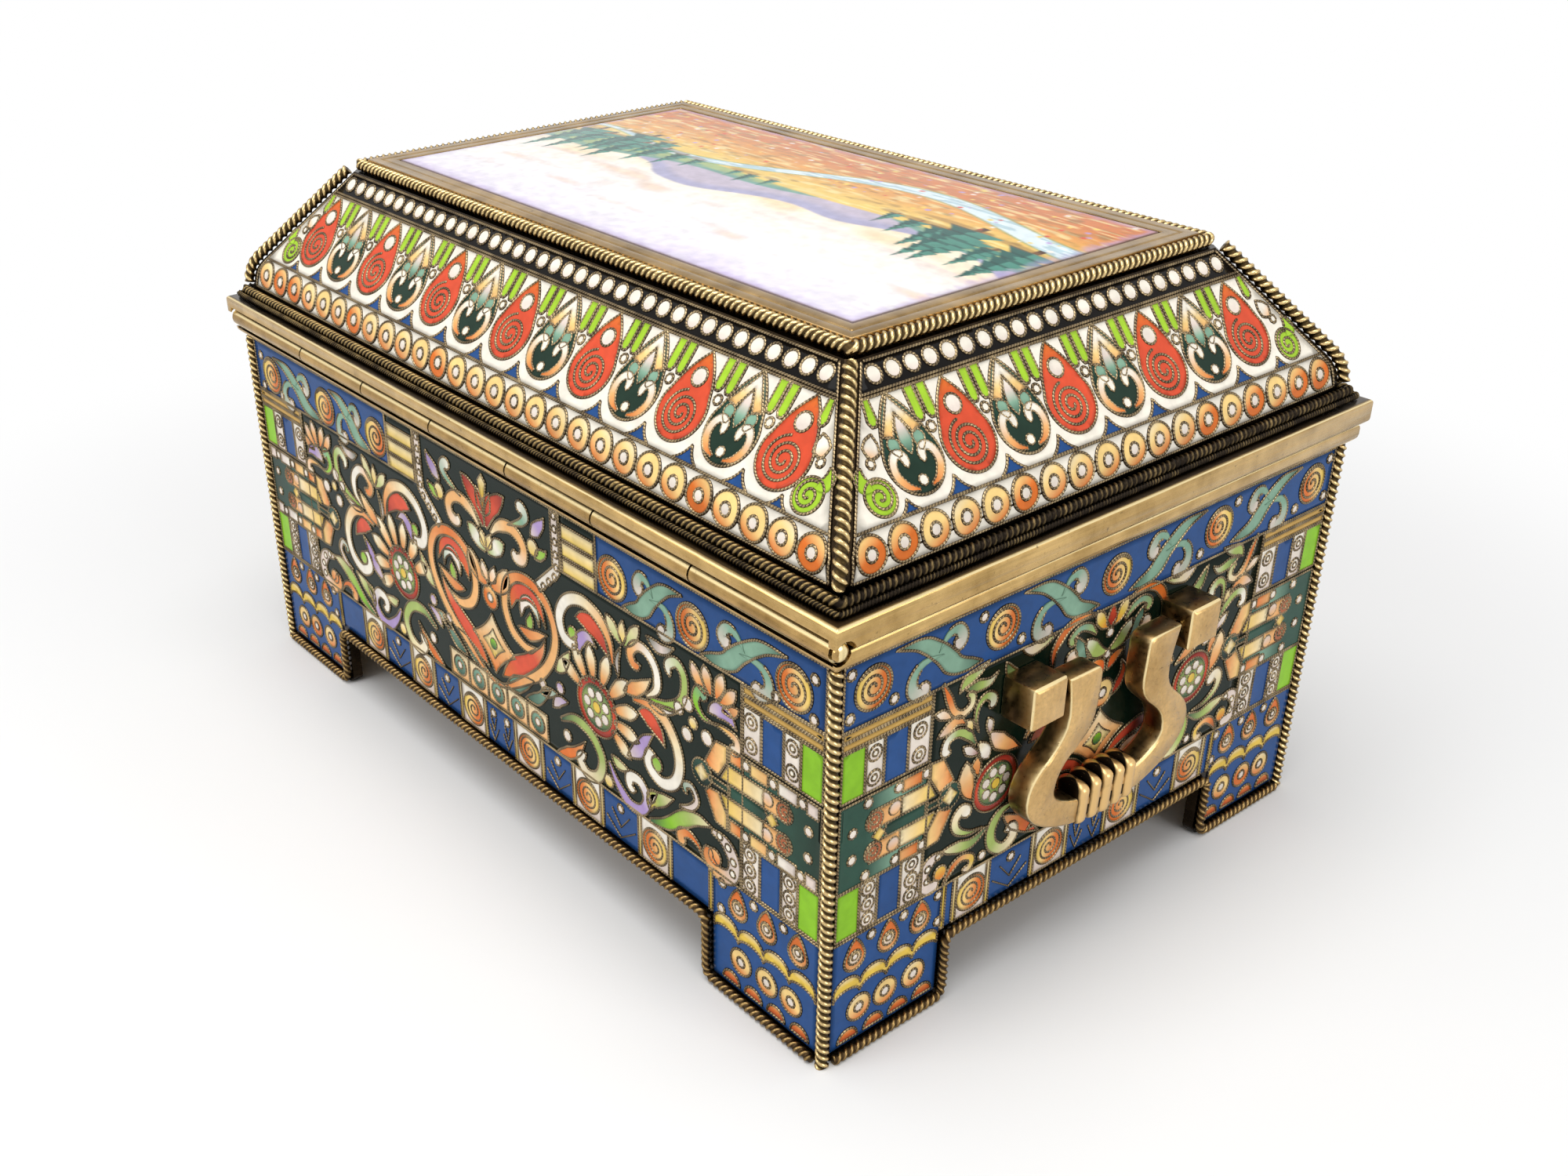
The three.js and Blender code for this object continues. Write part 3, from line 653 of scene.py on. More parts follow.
    def wire_cloth(self) -> Cloth:
        """The wires: half-round, ridged aslant by their twist, with crest values for a painted highlight on
        the ridges and painted shade between them.

        Returns:
            Their shells.
        """
        made = Cloth()
        beside = np.array([-1.0, -0.66, 0.0, 0.66, 1.0]) * self.wire_width / 2
        above = np.array([0.0, 0.66, 1.0, 0.66, 0.0]) * self.wire_height
        phase = np.array([0.0, -0.2, 0.0, 0.2, 0.0])
        crown = np.array([0.0, 1.0, 1.0, 1.0, 0.0])
        lines = [(along(line, self.wire_step, closed), closed, fine) for line, closed, fine in self.wires]
        rings = sum(len(line) for line, _, _ in lines)
        wide = max(MAP_ROW, int(math.sqrt(rings * 8)))
        used = 0
        for line, closed, fine in lines:
            count = len(line)
            turns = max(1, round(count * self.wire_step / self.crest_spacing))
            s = np.arange(count) / count * turns
            wave = 0.5 + 0.5 * np.cos(2 * math.pi * (s[:, None] + phase))
            offset = beside * fine * (1 - self.pinch * (1 - wave) * crown)
            height = above * (1 - self.dip * (1 - wave) * crown)
            flat = line[:, None] - leftward(line, closed)[:, None] * offset[..., None]
            flat = flat.reshape(-1, 2)
            solid = self.face.at(flat[:, 0], flat[:, 1], height.ravel())
            faces, maps = swept_faces(count, len(beside), closed, used, wide, rings // wide + 2)
            used += count
            # crest values: painted highlight on the ridges, painted shade between them
            made.add(solid, faces, (wave * crown).ravel(), maps)
        return made


def swept_faces(count: int, sides: int, closed: bool, first: int, wide: int,
                rows: int) -> tuple[list[list[int]], Points]:
    """Faces of a closed section carried along a line, with their places on the map.

    Args:
        count: sections along the line.
        sides: points of a section, with the clock as seen from the line's start.
        closed: whether the last section joins the first.
        first: sections on the map before this line.
        wide: sections in one row of the map.
        rows: rows of the map.

    Returns:
        The faces, and the map places of their corners.
    """
    faces = []
    maps = []
    for i in range(count if closed else count - 1):
        j = (i + 1) % count
        row, column = divmod(first + i, wide)
        u0, u1 = column / wide, (column + 0.98) / wide
        for k in range(sides):
            m = (k + 1) % sides
            faces.append([i * sides + k, i * sides + m, j * sides + m, j * sides + k])
            v0, v1 = ((row + 0.94 * edge / sides + 0.02) / rows for edge in (k, k + 1))
            maps += [(u0, v0), (u0, v1), (u1, v1), (u1, v0)]
    if not closed:
        end = (count - 1) * sides
        faces += [list(range(sides))[::-1], list(range(end, end + sides))]
        maps += [(0.0, 0.0)] * (2 * sides)
    return faces, np.array(maps)


def add(tree: bpy.types.NodeTree, kind: str, settings: dict | None = None, **links: object) -> bpy.types.Node:
    """Adds a node.

    Args:
        tree: the nodes that it joins.
        kind: the node's type.
        settings: properties by name, and input values by socket name or number.
        links: outputs, or nodes for their first open output, to join to inputs by socket name with
            underscores for spaces, or by n and a number.

    Returns:
        The new node.
    """
    made = tree.nodes.new(kind)
    for key, value in (settings or {}).items():
        if isinstance(key, str) and hasattr(made, key):
            setattr(made, key, value)
        else:
            made.inputs[key].default_value = value
    for key, source in links.items():
        name = key.replace("_", " ")
        target = made.inputs[int(name[1:]) if name[1:].isdigit() else name]
        if isinstance(source, bpy.types.Node):
            source = next(output for output in source.outputs if output.enabled)
        tree.links.new(source, target)
    return made


def blank(name: str) -> tuple[bpy.types.Material, bpy.types.NodeTree]:
    """A material without nodes.

    Args:
        name: the material's name.

    Returns:
        The material and its node tree.
    """
    made = bpy.data.materials.new(name)
    made.use_nodes = True
    made.node_tree.nodes.clear()
    return made, made.node_tree


def seen(tree: bpy.types.NodeTree) -> bpy.types.Node:
    """Marks what the eye sees directly, in metal or through glass.

    Args:
        tree: the nodes that the mark joins.

    Returns:
        A node that gives one for such a ray and nothing for others.
    """
    rays = add(tree, "ShaderNodeLightPath").outputs
    direct = add(tree, "ShaderNodeMath", {"operation": "MAXIMUM"},
                 n0=rays["Is Camera Ray"], n1=rays["Is Glossy Ray"])
    return add(tree, "ShaderNodeMath", {"operation": "MAXIMUM"}, n0=direct, n1=rays["Is Transmission Ray"])


def per_mm(size: float) -> float:
    """Noise scale that gives features of a size in mm on a frame in metres."""
    return 1 / (size * MM)


@dataclass(frozen=True)
class FiredEnamel:
    """Vitreous enamel, ground fine, fired in its cells and left with its fire gloss."""

    name: str = "fired_enamel"
    grain: float = 1.6
    pits: float = 0.35
    roughness: tuple[float, float] = (0.1, 0.26)

    def make(self) -> bpy.types.Material:
        """Glassy colour with faint clouding, and a surface that isn't quite level.

        Returns:
            The material.
        """
        made, tree = blank(self.name)
        paint = add(tree, "ShaderNodeVertexColor", {"layer_name": "enamel"})
        place = add(tree, "ShaderNodeTexCoord").outputs["Object"]
        cloud = add(tree, "ShaderNodeTexNoise", {"Scale": per_mm(self.grain), "Detail": 3.0}, Vector=place)
        pit = add(tree, "ShaderNodeTexNoise", {"Scale": per_mm(self.pits), "Detail": 1.0}, Vector=place)
        shade = add(tree, "ShaderNodeMapRange",
                    {"From Min": 0.3, "From Max": 0.7, "To Min": 0.9, "To Max": 1.06}, Value=cloud)
        colour = add(tree, "ShaderNodeMix", {"data_type": "RGBA", "blend_type": "MULTIPLY", 0: 1.0},
                     n6=paint, n7=shade)
        low, high = self.roughness
        gloss = add(tree, "ShaderNodeMapRange",
                    {"From Min": 0.35, "From Max": 0.7, "To Min": low, "To Max": high}, Value=cloud)
        bump = add(tree, "ShaderNodeBump", {"Strength": 0.12, "Distance": 0.04 * MM}, Height=pit)
        shader = add(tree, "ShaderNodeBsdfPrincipled", {"Specular IOR Level": 0.1},
                     Base_Color=colour, Roughness=gloss, Normal=bump)
        add(tree, "ShaderNodeOutputMaterial", None, Surface=shader)
        return made


@dataclass(frozen=True)
class TwistedGilt:
    """Gilt silver wire, twisted, with a painted highlight on its crests and painted shade, with tarnished
    metal, in the grooves between them.
    """

    name: str
    crest: str
    groove: str
    roughness: tuple[float, float] = (0.5, 0.27)
    wear: float = 2.5

    def make(self) -> bpy.types.Material:
        """Painted shade in the grooves and a painted highlight on the crests, patchy from wear.

        Returns:
            The material.
        """
        made, tree = blank(self.name)
        crest = add(tree, "ShaderNodeAttribute", {"attribute_name": "crest"}).outputs["Fac"]
        place = add(tree, "ShaderNodeTexCoord").outputs["Object"]
        wear_and_shade = add(tree, "ShaderNodeTexNoise", {"Scale": per_mm(self.wear), "Detail": 4.0}, Vector=place)
        patch = add(tree, "ShaderNodeMapRange",
                    {"From Min": 0.35, "From Max": 0.65, "To Min": -0.22, "To Max": 0.16}, Value=wear_and_shade)
        bright = add(tree, "ShaderNodeMath", {"operation": "ADD", "use_clamp": True}, n0=crest, n1=patch)
        lift = add(tree, "ShaderNodeMapRange", {"From Min": 0.22, "From Max": 0.85}, Value=bright)
        # crest colour: painted highlight; groove colour: painted shade with tarnished metal
        colour = add(tree, "ShaderNodeMix",
                     {"data_type": "RGBA", 6: linear(self.groove), 7: linear(self.crest)}, n0=lift)
        low, high = self.roughness
        gloss = add(tree, "ShaderNodeMapRange", {"To Min": low, "To Max": high}, Value=lift)
        shader = add(tree, "ShaderNodeBsdfPrincipled", {"Metallic": 1.0}, Base_Color=colour, Roughness=gloss)
        add(tree, "ShaderNodeOutputMaterial", None, Surface=shader)
        return made


@dataclass(frozen=True)
class GiltMetal:
    """Gilt brass, rolled, drawn or cast, with brown tarnished patches; on some pieces, painted shade with
    patination on faces turned from chosen axes, and a painted highlight on edges.
    """

    name: str
    bright: str = "#D2AF72"
    dull: str = "#A4834B"
    tarnish_and_shade: str = "#2A1F14"
    edge_highlight: str = "#F2DCA6"
    roughness: tuple[float, float] = (0.18, 0.36)
    brush: tuple[float, float, float] = (0.05, 0.05, 1.6)
    patch: float = 6.0
    streak: float = 0.5
    speck: float = 0.9
    lit_axes: tuple[float, float, float] | None = None
    patina: float = 0.95
    lining: str = ""
    lining_low: tuple[float, float] = (11.0, 11.5)

    def make(self) -> bpy.types.Material:
        """Satin gold with clouds of duller metal, tarnished specks and fine brushing; painted shade on turned
        faces and painted edge highlights where axes are given.

        Returns:
            The material.
        """
        made, tree = blank(self.name)
        place = add(tree, "ShaderNodeTexCoord").outputs
        drawn = add(tree, "ShaderNodeMapping", {"Scale": self.brush}, Vector=place["Object"])
        cloud = add(tree, "ShaderNodeTexNoise",
                    {"Scale": per_mm(self.patch), "Detail": 5.0, "Roughness": 0.62}, Vector=place["Object"])
        line = add(tree, "ShaderNodeTexNoise", {"Scale": per_mm(self.streak), "Detail": 2.0}, Vector=drawn)
        speck = add(tree, "ShaderNodeTexNoise",
                    {"Scale": per_mm(self.speck), "Detail": 6.0, "Roughness": 0.7}, Vector=place["Object"])
        dull = add(tree, "ShaderNodeMapRange", {"From Min": 0.36, "From Max": 0.7}, Value=cloud)
        spots = add(tree, "ShaderNodeMapRange",
                    {"From Min": 0.62, "From Max": 0.74, "To Max": 0.75}, Value=speck)
        base = add(tree, "ShaderNodeMix",
                   {"data_type": "RGBA", 6: linear(self.bright), 7: linear(self.dull)}, n0=dull)
        brushed = add(tree, "ShaderNodeMapRange",
                      {"From Min": 0.3, "From Max": 0.7, "To Min": 0.86, "To Max": 1.05}, Value=line)
        base = add(tree, "ShaderNodeMix", {"data_type": "RGBA", "blend_type": "MULTIPLY", 0: 1.0},
                   n6=base, n7=brushed)
        # painted shade, with patination, on faces turned from the given axes, and a painted highlight on the
        # edges between faces
        if self.lit_axes:
            turned = add(tree, "ShaderNodeVectorMath", {"operation": "ABSOLUTE"}, n0=place["Normal"])
            lit_facing = add(tree, "ShaderNodeVectorMath",
                          {"operation": "DOT_PRODUCT", 1: self.lit_axes}, n0=turned)
            wear_and_shade = add(tree, "ShaderNodeMath", {"operation": "MULTIPLY_ADD", 1: 0.5}, n0=cloud, n2=lit_facing)
            facing_shade = add(tree, "ShaderNodeMapRange",
                       {"From Min": 0.5, "From Max": 1.0, "To Min": self.patina, "To Max": 0.0}, Value=wear_and_shade)
            spots = add(tree, "ShaderNodeMath", {"operation": "MAXIMUM"}, n0=spots, n1=facing_shade)
            edge_glint = add(tree, "ShaderNodeFloatCurve", None, Value=lit_facing)
            for at, share in ((0.45, 0.0), (0.62, 1.0), (0.86, 1.0), (0.97, 0.0)):
                edge_glint.mapping.curves[0].points.new(at, share)
            edge_glint.mapping.curves[0].points[-1].location = (1.0, 0.0)
            edge_glint.mapping.update()
            base = add(tree, "ShaderNodeMix", {"data_type": "RGBA", 7: linear(self.edge_highlight)}, n0=edge_glint, n6=base)
        # dark tarnished specks, joined by the painted shade on turned faces
        colour = add(tree, "ShaderNodeMix", {"data_type": "RGBA", 7: linear(self.tarnish_and_shade)}, n0=spots, n6=base)
        # inner faces above the lining's height are gilt; lower ones, inside the feet, keep the dark colours
        # as painted shade
        if self.lining:
            facing = add(tree, "ShaderNodeVectorMath", {"operation": "DOT_PRODUCT"},
                         n0=place["Object"], n1=place["Normal"])
            inward = add(tree, "ShaderNodeMath", {"operation": "LESS_THAN", 1: 0.0}, n0=facing)
            level = add(tree, "ShaderNodeSeparateXYZ", None, Vector=place["Object"]).outputs["Z"]
            low, high = (height * MM for height in self.lining_low)
            inward = add(tree, "ShaderNodeMapRange", {"From Min": low, "From Max": high, "To Min": 0.0},
                         Value=level, To_Max=inward)
            lined = add(tree, "ShaderNodeMix", {"data_type": "RGBA", "blend_type": "MULTIPLY", 0: 1.0,
                                                6: linear(self.lining)}, n7=brushed)
            colour = add(tree, "ShaderNodeMix", {"data_type": "RGBA"}, n0=inward, n6=colour, n7=lined)
        low, high = self.roughness
        gloss = add(tree, "ShaderNodeMapRange",
                    {"From Min": 0.3, "From Max": 0.7, "To Min": low, "To Max": high}, Value=line)
        bump = add(tree, "ShaderNodeBump", {"Strength": 0.18, "Distance": 0.03 * MM}, Height=line)
        shader = add(tree, "ShaderNodeBsdfPrincipled", {"Metallic": 1.0},
                     Base_Color=colour, Roughness=gloss, Normal=bump)
        add(tree, "ShaderNodeOutputMaterial", None, Surface=shader)
        return made


@dataclass(frozen=True)
class StudioFloor:
    """Seamless white studio paper, matt."""

    name: str = "studio_paper"
    paper: str = "#F2F2F2"
    clear: tuple[float, float] = (0.095, 0.2)

    def make(self) -> bpy.types.Material:
        """Matt paper that holds the shadow near the casket and runs into plain white.

        Returns:
            The material.
        """
        made, tree = blank(self.name)
        place = add(tree, "ShaderNodeTexCoord").outputs["Object"]
        reach = add(tree, "ShaderNodeVectorMath", {"operation": "LENGTH"}, n0=place)
        low, high = self.clear
        far = add(tree, "ShaderNodeMapRange",
                  {"interpolation_type": "SMOOTHSTEP", "From Min": low, "From Max": high}, Value=reach)
        share = add(tree, "ShaderNodeMath", {"operation": "MULTIPLY"}, n0=far, n1=seen(tree))
        matt = add(tree, "ShaderNodeBsdfDiffuse", {"Color": linear(self.paper)})
        white = add(tree, "ShaderNodeEmission", {"Strength": 1.0})
        mixed = add(tree, "ShaderNodeMixShader", None, n0=share, n1=matt, n2=white)
        add(tree, "ShaderNodeOutputMaterial", None, Surface=mixed)
        return made


@dataclass
class Studio:
    """White paper, soft lamps and the camera at the photographed angle."""

    image: tuple[int, int] = (2000, 1500)
    focal: float = 2101.43
    middle: tuple[float, float] = (882.47, 798.13)
    stand: tuple[float, float, float] = (-165.28, 141.88, 136.03)
    azimuth: float = 231.51
    elevation: float = 29.28
    roll: float = -0.711
    sensor: float = 36.0
    ambient: float = 0.4
    paper: float = 1.6
    aim: tuple[float, float, float] = (0.0, 0.0, 0.04)

    def build(self) -> None:
        """Makes the camera, the floor, the world and the lamps."""
        self.camera()
        self.floor()
        self.world()
        self.lamp("lamp_above", (-0.05, 0.12, 0.62), (0.5, 0.5), 2.6)
        self.lamp("lamp_left", (0.12, 0.62, 0.34), (0.4, 0.3), 1.3)
        self.lamp("lamp_right", (-0.66, -0.08, 0.30), (0.35, 0.3), 1.15)
        bpy.context.scene.view_settings.view_transform = "Standard"

    def camera(self) -> None:
        """The camera, with the photograph's frame as its shift."""
        az, el, roll = (math.radians(v) for v in (self.azimuth, self.elevation, self.roll))
        back = Vector((math.sin(az) * math.cos(el), -math.cos(az) * math.cos(el), math.sin(el)))
        right = (-back).cross(Vector((0, 0, 1))).normalized()
        up = right.cross(-back)
        across = right * math.cos(roll) + up * math.sin(roll)
        above = up * math.cos(roll) - right * math.sin(roll)
        data = bpy.data.cameras.new("camera")
        data.sensor_width = self.sensor
        data.lens = self.focal / self.image[0] * self.sensor
        data.shift_x = 0.5 - self.middle[0] / self.image[0]
        data.shift_y = (self.middle[1] - self.image[1] / 2) / self.image[0]
        data.clip_start = 0.01
        made = bpy.data.objects.new("camera", data)
        turn = Matrix((across, above, back)).transposed()
        made.matrix_world = Matrix.Translation(Vector(self.stand) * MM) @ turn.to_4x4()
        bpy.context.scene.collection.objects.link(made)
        bpy.context.scene.camera = made

    def floor(self) -> None:
        """The paper under the casket."""
        corners = [(x, y, 0) for x, y in box(-self.paper, -self.paper, self.paper, self.paper)]
        mesh = bpy.data.meshes.new("paper")
        mesh.from_pydata(corners, [], [(0, 1, 2, 3)])
        mesh.materials.append(StudioFloor().make())
        made = bpy.data.objects.new("paper", mesh)
        bpy.context.scene.collection.objects.link(made)

    def world(self) -> None:
        """Even light, with white seen behind the casket and in its metal."""
        world = bpy.data.worlds.new("studio")
        bpy.context.scene.world = world
        world.use_nodes = True
        tree = world.node_tree
        tree.nodes.clear()
        plain, white = (add(tree, "ShaderNodeBackground", {"Color": (1, 1, 1, 1), "Strength": strength})
                        for strength in (self.ambient, 1.0))
        mixed = add(tree, "ShaderNodeMixShader", None, n0=seen(tree), n1=plain, n2=white)
        output = add(tree, "ShaderNodeOutputWorld", None, Surface=mixed)
        output.is_active_output = True

    def lamp(self, name: str, place: tuple[float, float, float], size: tuple[float, float],
             watts: float) -> None:
        """A soft lamp that faces the casket.

        Args:
            name: the lamp's name.
            place: where it hangs, in metres.
            size: its width and height in metres.
            watts: its power.
        """
        data = bpy.data.lights.new(name, "AREA")
        data.shape = "RECTANGLE"
        data.size, data.size_y = size
        data.energy = watts
        made = bpy.data.objects.new(name, data)
        made.location = place
        aim = Vector(self.aim) - Vector(place)
        made.rotation_euler = aim.to_track_quat("-Z", "Y").to_euler()
        bpy.context.scene.collection.objects.link(made)


@dataclass(frozen=True)
class Finishes:
    """The casket's finishes, made once."""

    enamel: bpy.types.Material
    wire: bpy.types.Material
    rope: bpy.types.Material
    edge_rope: bpy.types.Material
    dark_rope: bpy.types.Material
    gilt: bpy.types.Material
    cast: bpy.types.Material
    grip: bpy.types.Material
    rim: bpy.types.Material
    hinge: bpy.types.Material
    backing: bpy.types.Material

    @classmethod
    def make(cls) -> "Finishes":
        """Makes every finish.

        Returns:
            The finishes.
        """
        return cls(
            enamel=FiredEnamel().make(),
            # wires, ropes and grip ribs: crest colours are painted highlights, groove colours painted shade
            # with tarnished metal
            wire=TwistedGilt("twisted_cell_wire", "#B09B76", "#43382C").make(),
            rope=TwistedGilt("twisted_gilt_rope", "#D8BB84", "#443620", (0.45, 0.18)).make(),
            edge_rope=TwistedGilt("twisted_rope_browned", "#9C8052", "#473725", (0.5, 0.3)).make(),
            dark_rope=TwistedGilt("twisted_rope_tarnish_and_shadeed", "#857049", "#241E18", (0.5, 0.32)).make(),
            gilt=GiltMetal("rolled_gilt_brass", bright="#B89A6C", dull="#846A44").make(),
            # cast, rim and hinge finishes: painted shade on faces turned from the given axes, painted
            # highlights on the edges between
            cast=GiltMetal("cast_gilt_brass", bright="#E2BC80", dull="#B6925C", tarnish_and_shade="#211B15",
                           roughness=(0.26, 0.44), brush=(1.0, 1.0, 1.0), patch=9.0,
                           lit_axes=(1.0, 0.3, 0.2), patina=0.9).make(),
            grip=TwistedGilt("cast_gilt_brass_ribs", "#E2BC80", "#211A13", (0.5, 0.32)).make(),
            rim=GiltMetal("rolled_gilt_brass_dark_ledge", lit_axes=(1.0, 1.0, 0.0)).make(),
            hinge=GiltMetal("drawn_gilt_brass_browned_painted_shade", bright="#C39F64", dull="#8C6E40",
                            brush=(0.05, 1.6, 1.6), lit_axes=(0.6, 1.0, 0.15), patina=0.85).make(),
            # wall and lid plates: dark outer faces as painted shade beside the enamel and ropes and inside
            # the feet, with a gilt lining inside
            backing=GiltMetal("silver_gilt_painted_shade", bright="#3A2E20", dull="#1D1711", tarnish_and_shade="#0E0B09",
                              lining="#DCC08A").make(),
        )


@lru_cache(maxsize=None)
def smooth_shading(angle: float) -> bpy.types.NodeTree:
    """Nodes that shade a mesh smooth across its blunt edges.

    Args:
        angle: the bend in degrees from which an edge stays sharp.

    Returns:
        The node tree, for a modifier.
    """
    tree = bpy.data.node_groups.new("smooth_shading", "GeometryNodeTree")
    for way in ("INPUT", "OUTPUT"):
        tree.interface.new_socket("Geometry", in_out=way, socket_type="NodeSocketGeometry")
    turned = add(tree, "GeometryNodeInputMeshEdgeAngle")
    blunt = add(tree, "FunctionNodeCompare", {"operation": "LESS_THAN", 1: math.radians(angle)}, n0=turned)
    faces = add(tree, "GeometryNodeSetShadeSmooth", {"domain": "FACE"}, Geometry=add(tree, "NodeGroupInput"))
    edges = add(tree, "GeometryNodeSetShadeSmooth", {"domain": "EDGE"}, Geometry=faces, Shade_Smooth=blunt)
    add(tree, "NodeGroupOutput", None, n0=edges)
    return tree


def finish(nodes: Sequence[str], material: bpy.types.Material, ease: float = 0.0, turn: float = 32.0) -> None:
    """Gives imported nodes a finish.

    Args:
        nodes: their names.
        material: the finish.
        ease: width in mm by which wear has eased their edges.
        turn: angle in degrees below which neighbouring facets belong to one curved face.
    """
    for name in nodes:
        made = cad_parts[name]
        made.data.materials.clear()
        made.data.materials.append(material)
        joined = made.modifiers.new("joined_facets", "WELD")
        joined.merge_threshold = WELD_GAP * MM
        if ease:
            eased = made.modifiers.new("eased_edges", "BEVEL")
            eased.width = ease * MM
            eased.segments = 2
            eased.limit_method = "ANGLE"
            eased.angle_limit = math.radians(turn + 5)
        smoothed = made.modifiers.new("smooth_shading", "NODES")
        smoothed.node_group = smooth_shading(turn)
        LOG.info("%s: %s", name, material.name)


@dataclass
class Ropes:
    """Two-strand ropes along the casket's edges."""

    finishes: Finishes
    sides: int = 14
    step: float = 0.12
    bulge: float = 0.6
    groove: float = 0.68
    dark: float = 0.7
    bright: float = 0.92
    lengthways: float = 0.7

    def cloth(self, line: Points, diameter: float, crest: float, closed: bool, normal: Points,
              ends: float = 1.0) -> Cloth:
        """A rope of two strands twisted round each other.

        Args:
            line: its middle line in mm.
            diameter: over both strands.
            crest: distance between crests along it.
            closed: whether its ends join.
            normal: direction square to the line all along it.
            ends: how bright the painted highlight on its crests is where it doesn't run lengthways.

        Returns:
            Its shell.
        """
        path = along(line, self.step, closed)
        count = len(path)
        ahead = tangents(path, closed)
        across = np.cross(ahead, normal)
        across /= np.linalg.norm(across, axis=1)[:, None]
        square = np.cross(across, ahead)
        half_turns = max(2, 2 * round(count * self.step / (2 * crest)))
        twist = np.arange(count) / count * half_turns * math.pi
        around = np.linspace(0, 2 * math.pi, self.sides, endpoint=False)
        lobe = np.maximum(np.abs(np.cos(around)) ** self.bulge, self.groove)
        angle = around + twist[:, None]
        radius = diameter / 2 * lobe
        offset = across[:, None] * (radius * np.cos(angle))[..., None] \
            + square[:, None] * (radius * np.sin(angle))[..., None]
        solid = (path[:, None] + offset).reshape(-1, 3)
        # painted highlight on the strands' crests and painted shade in the grooves between them
        shade = np.tile(np.clip((lobe - self.dark) / (self.bright - self.dark), 0, 1), (count, 1))
        shade *= np.where(np.abs(ahead[:, :1]) > self.lengthways, 1.0, ends)
        wide = max(MAP_ROW, int(math.sqrt(count * self.sides * 2)))
        faces, maps = swept_faces(count, self.sides, closed, 0, wide, count // wide + 2)
        made = Cloth()
        made.add(solid, faces, shade.ravel(), maps)
        return made

    def lay(self, node: str, cloth: Cloth, material: bpy.types.Material, body: str) -> None:
        """Lays a rope in place of a packed one.

        Args:
            node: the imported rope.
            cloth: the rope's shell.
            material: its finish.
            body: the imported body.
        """
        made = piece(f"twisted_{node}", cloth, material, body)
        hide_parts(node)


OCTAGON = math.cos(math.pi / 8)
CORNERS = {"back_right": (1, 1), "back_left": (-1, 1), "front_left": (-1, -1), "front_right": (1, -1)}


@dataclass
class Box:
    """The box: enamelled walls on bracket feet, with their ropes, rim, lugs and floor."""

    finishes: Finishes
    corner_rope: float = 1.7
    edge_rope: float = 1.3
    arch: float = 9.0
    foot_round: float = 1.6
    long_foot: float = 20.6
    short_foot: float = 19.4
    solder: float = 0.05
    corner_crest: float = 1.02
    edge_crest: float = 0.95
    rim_ease: float = 0.2
    lug_ease: float = 0.5

    def build(self) -> None:
        """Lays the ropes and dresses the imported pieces."""
        self.ropes()
        self.dress()

    def ropes(self) -> None:
        """Ropes up the corners and along the lower edges."""
        ropes = Ropes(self.finishes)
        for corner in CORNERS:
            node = f"corner_rope_{corner}"
            low, high = box_of(node)
            middle = (low + high) / 2
            line = np.array([[*middle[:2], low[2]], [*middle[:2], high[2]]])
            cloth = ropes.cloth(line, self.corner_rope, self.corner_crest, False, np.array([1.0, 0, 0]))
            ropes.lay(node, cloth, self.finishes.rope, "box")
        r = self.edge_rope / 2
        for side in Side:
            node = f"edge_rope_{side.label}"
            end = float(np.abs(np.array(box_of(node)) @ side.right).max())
            arch = half_length(side) - (self.long_foot if side.long else self.short_foot)
            out = wall_reach(side) + self.solder + r * OCTAGON
            flat = np.array([[-end, r], [-arch - r, r], [-arch - r, self.arch + r],
                             [arch + r, self.arch + r], [arch + r, r], [end, r]])
            bent = rounded(flat, self.foot_round, False)
            line = bent[:, :1] * side.right + bent[:, 1:] * UP + out * side.out
            cloth = ropes.cloth(line, self.edge_rope, self.edge_crest, False, side.out)
            ropes.lay(node, cloth, self.finishes.edge_rope, "box")

    def dress(self) -> None:
        """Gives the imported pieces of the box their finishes."""
        marks = [f"{end}_{mark}" for end in ("left", "right") for mark in "ab"]
        finish(["floor"], self.finishes.gilt)
        finish([f"knuckle_{i}" for i in (2, 4, 6)], self.finishes.hinge)
        finish(["body_rim"], self.finishes.rim, self.rim_ease)
        finish([f"lug_{mark}" for mark in marks], self.finishes.cast, self.lug_ease)
        finish([f"pivot_pin_{mark}" for mark in marks], self.finishes.cast)
        finish([f"wall_{side.label}" for side in Side], self.finishes.backing)


